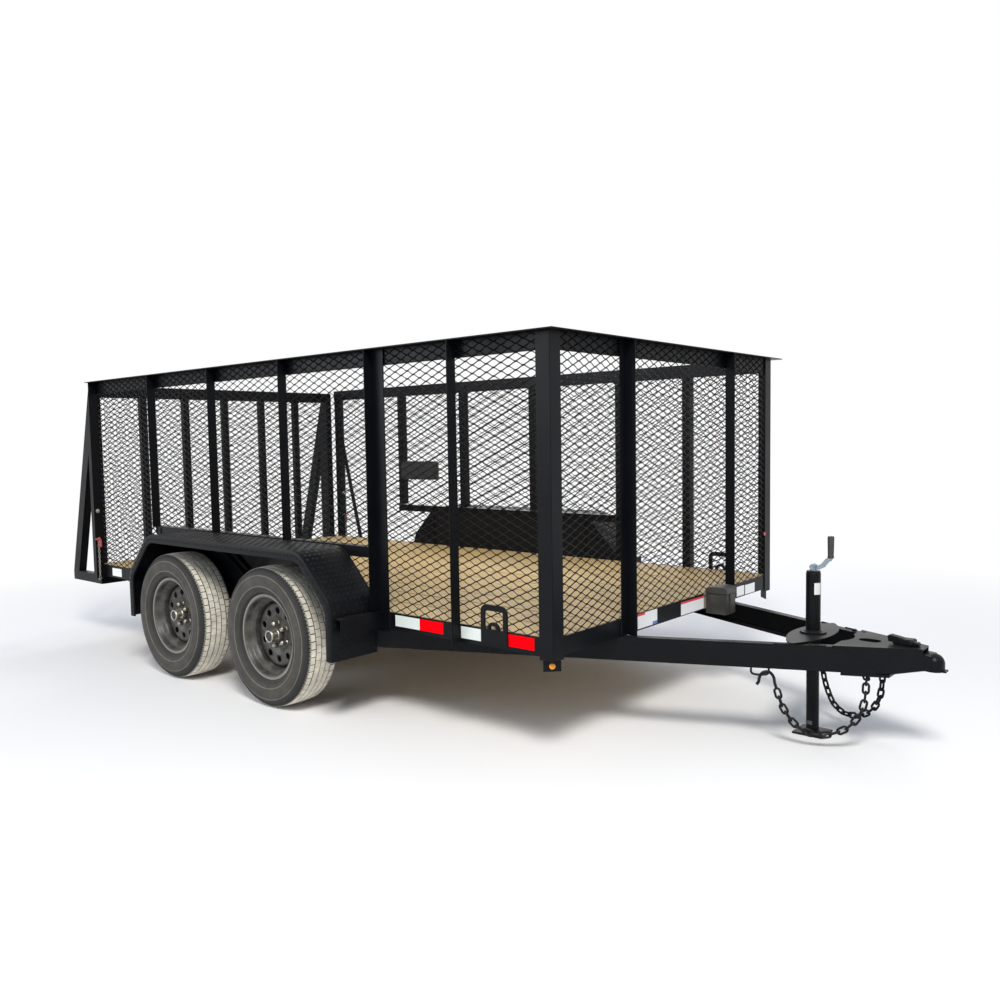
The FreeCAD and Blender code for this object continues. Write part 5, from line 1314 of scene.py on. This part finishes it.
shown("reflective_tape", tape, [white_tape, red_tape])

label_white = finish_of("blank_label", LABEL_WHITE, 0.35)
label_red = finish_of("label_header", LABEL_RED, 0.35)
label_blue = finish_of("label_corner", LABEL_BLUE, 0.35)
labels = bmesh.new()
for start, end, low, high, slot in (
    (-0.378, -0.213, 0.430, 0.496, 0),
    (-0.378, -0.318, 0.486, 0.496, 1),
    (-0.253, -0.213, 0.430, 0.444, 2),
    (0.005, 0.232, 0.428, 0.490, 0),
    (0.005, 0.232, 0.480, 0.490, 1),
    (0.592, 0.678, 0.430, 0.481, 0),
    (0.690, 0.807, 0.428, 0.478, 0),
):
    thick = 1.5 * TAPE_THICK if slot else TAPE_THICK
    box_in(labels, (bed_front, start, low), (bed_front + thick, end, high), slot)
side_label = (-2.056, -wall_y - TAPE_THICK, rail_low.z + 0.012)
box_in(labels, side_label, (-1.936, -wall_y, rail_high.z - 0.014))
disc_in(labels, (bed_front + 0.006, wall_y - 0.071, 0.729), 0.009, 0.004, 20, 1, "X")
shown("blank_labels", labels, [label_white, label_red, label_blue])

# The floor, the lamps and the camera.
# A plain pale floor that keeps the shadow near the trailer and turns white away from it, soft
# lamps, and a camera where the photograph was taken.
FLOOR_HALF = 30.0
FLOOR_DROP = 0.001
FLOOR_WHITE = (0.86, 0.86, 0.86)
SKY_TINT = (0.80, 0.87, 1.0)
SKY_LIGHT = 0.5
WHITE_FROM = 2.8
WHITE_BEYOND = 5.4
PURE_WHITE = {"Color": (1, 1, 1, 1), "Strength": 1.0}


def backdrop_rays(finish):
    """1 for the rays that show the backdrop: the camera's, and those off metal or through glass."""
    path = step(finish, "ShaderNodeLightPath").outputs
    seen = combined(finish, path["Is Camera Ray"], path["Is Glossy Ray"], "MAXIMUM")
    return combined(finish, seen, path["Is Transmission Ray"], "MAXIMUM")


floor_finish = finish_of("pale_floor", FLOOR_WHITE, 0.9)
floor_spot = step(floor_finish, "ShaderNodeNewGeometry").outputs["Position"]
floor_reach = step(floor_finish, "ShaderNodeVectorMath", {0: floor_spot}, operation="LENGTH")
away = between(floor_finish, floor_reach.outputs["Value"], WHITE_FROM, WHITE_BEYOND)
lit = floor_finish.node_tree.nodes["Principled BSDF"].outputs[0]
plain_white = step(floor_finish, "ShaderNodeEmission", PURE_WHITE).outputs[0]
either = {0: combined(floor_finish, away, backdrop_rays(floor_finish)), 1: lit, 2: plain_white}
faded = step(floor_finish, "ShaderNodeMixShader", either)
floor_out = floor_finish.node_tree.nodes["Material Output"].inputs["Surface"]
floor_finish.node_tree.links.new(faded.outputs[0], floor_out)
floor = bmesh.new()
bmesh.ops.create_grid(floor, x_segments=1, y_segments=1, size=FLOOR_HALF)
floor_piece = placed("floor", mesh_of("floor", floor, [floor_finish]))
floor_piece.location.z = -FLOOR_DROP

world = bpy.data.worlds.new("studio")
bpy.context.scene.world = world
world.use_nodes = True
sky = world.node_tree.nodes["Background"]
sky.inputs["Color"].default_value = (*SKY_TINT, 1)
sky.inputs["Strength"].default_value = SKY_LIGHT
white_sky = step(world, "ShaderNodeBackground", PURE_WHITE)
either = {0: backdrop_rays(world), 1: sky.outputs[0], 2: white_sky.outputs[0]}
choice = step(world, "ShaderNodeMixShader", either)
world.node_tree.links.new(choice.outputs[0], world.node_tree.nodes["World Output"].inputs[0])


def lamp(name, place, aim, size, power, colour):
    """A soft rectangular lamp at a place, turned to what it lights."""
    light = bpy.data.lights.new(name, "AREA")
    light.shape = "RECTANGLE"
    light.size, light.size_y = size
    light.energy = power
    light.color = colour
    piece = placed(name, light)
    piece.location = place
    piece.rotation_euler = (Vector(aim) - Vector(place)).to_track_quat("-Z", "Y").to_euler()


lamp("key", (4.5, -4.5, 6.5), (0, 0, 0.6), (2.2, 2.2), 600, (1.0, 0.97, 0.92))
lamp("fill", (-4.0, -6.0, 3.0), (0, 0, 0.8), (4.0, 3.0), 130, (0.92, 0.95, 1.0))
lamp("back", (-3.0, 6.0, 4.5), (0, 0, 0.8), (4.0, 3.0), 250, (0.95, 0.97, 1.0))

CAMERA_PLACE = (3.5206, -3.6576, 1.2696)
CAMERA_HEADING = math.radians(130.537)
CAMERA_RISE = math.radians(-3.946)
CAMERA_ROLL = math.radians(-0.984)
LENS = 31.80
SENSOR_WIDE = 36.0
level = math.cos(CAMERA_RISE)
ahead_x, ahead_y = math.cos(CAMERA_HEADING) * level, math.sin(CAMERA_HEADING) * level
ahead = Vector((ahead_x, ahead_y, math.sin(CAMERA_RISE)))
level_right = ahead.cross(Vector((0, 0, 1))).normalized()
level_up = level_right.cross(ahead)
right = level_right * math.cos(CAMERA_ROLL) + level_up * math.sin(CAMERA_ROLL)
up = level_up * math.cos(CAMERA_ROLL) - level_right * math.sin(CAMERA_ROLL)
camera = bpy.data.cameras.new("camera")
camera.lens = LENS
camera.sensor_width = SENSOR_WIDE
viewer = placed("camera", camera)
stand = Matrix((right, up, -ahead)).transposed().to_4x4()
viewer.matrix_world = Matrix.Translation(CAMERA_PLACE) @ stand
bpy.context.scene.camera = viewer
bpy.context.scene.view_settings.view_transform = "Standard"
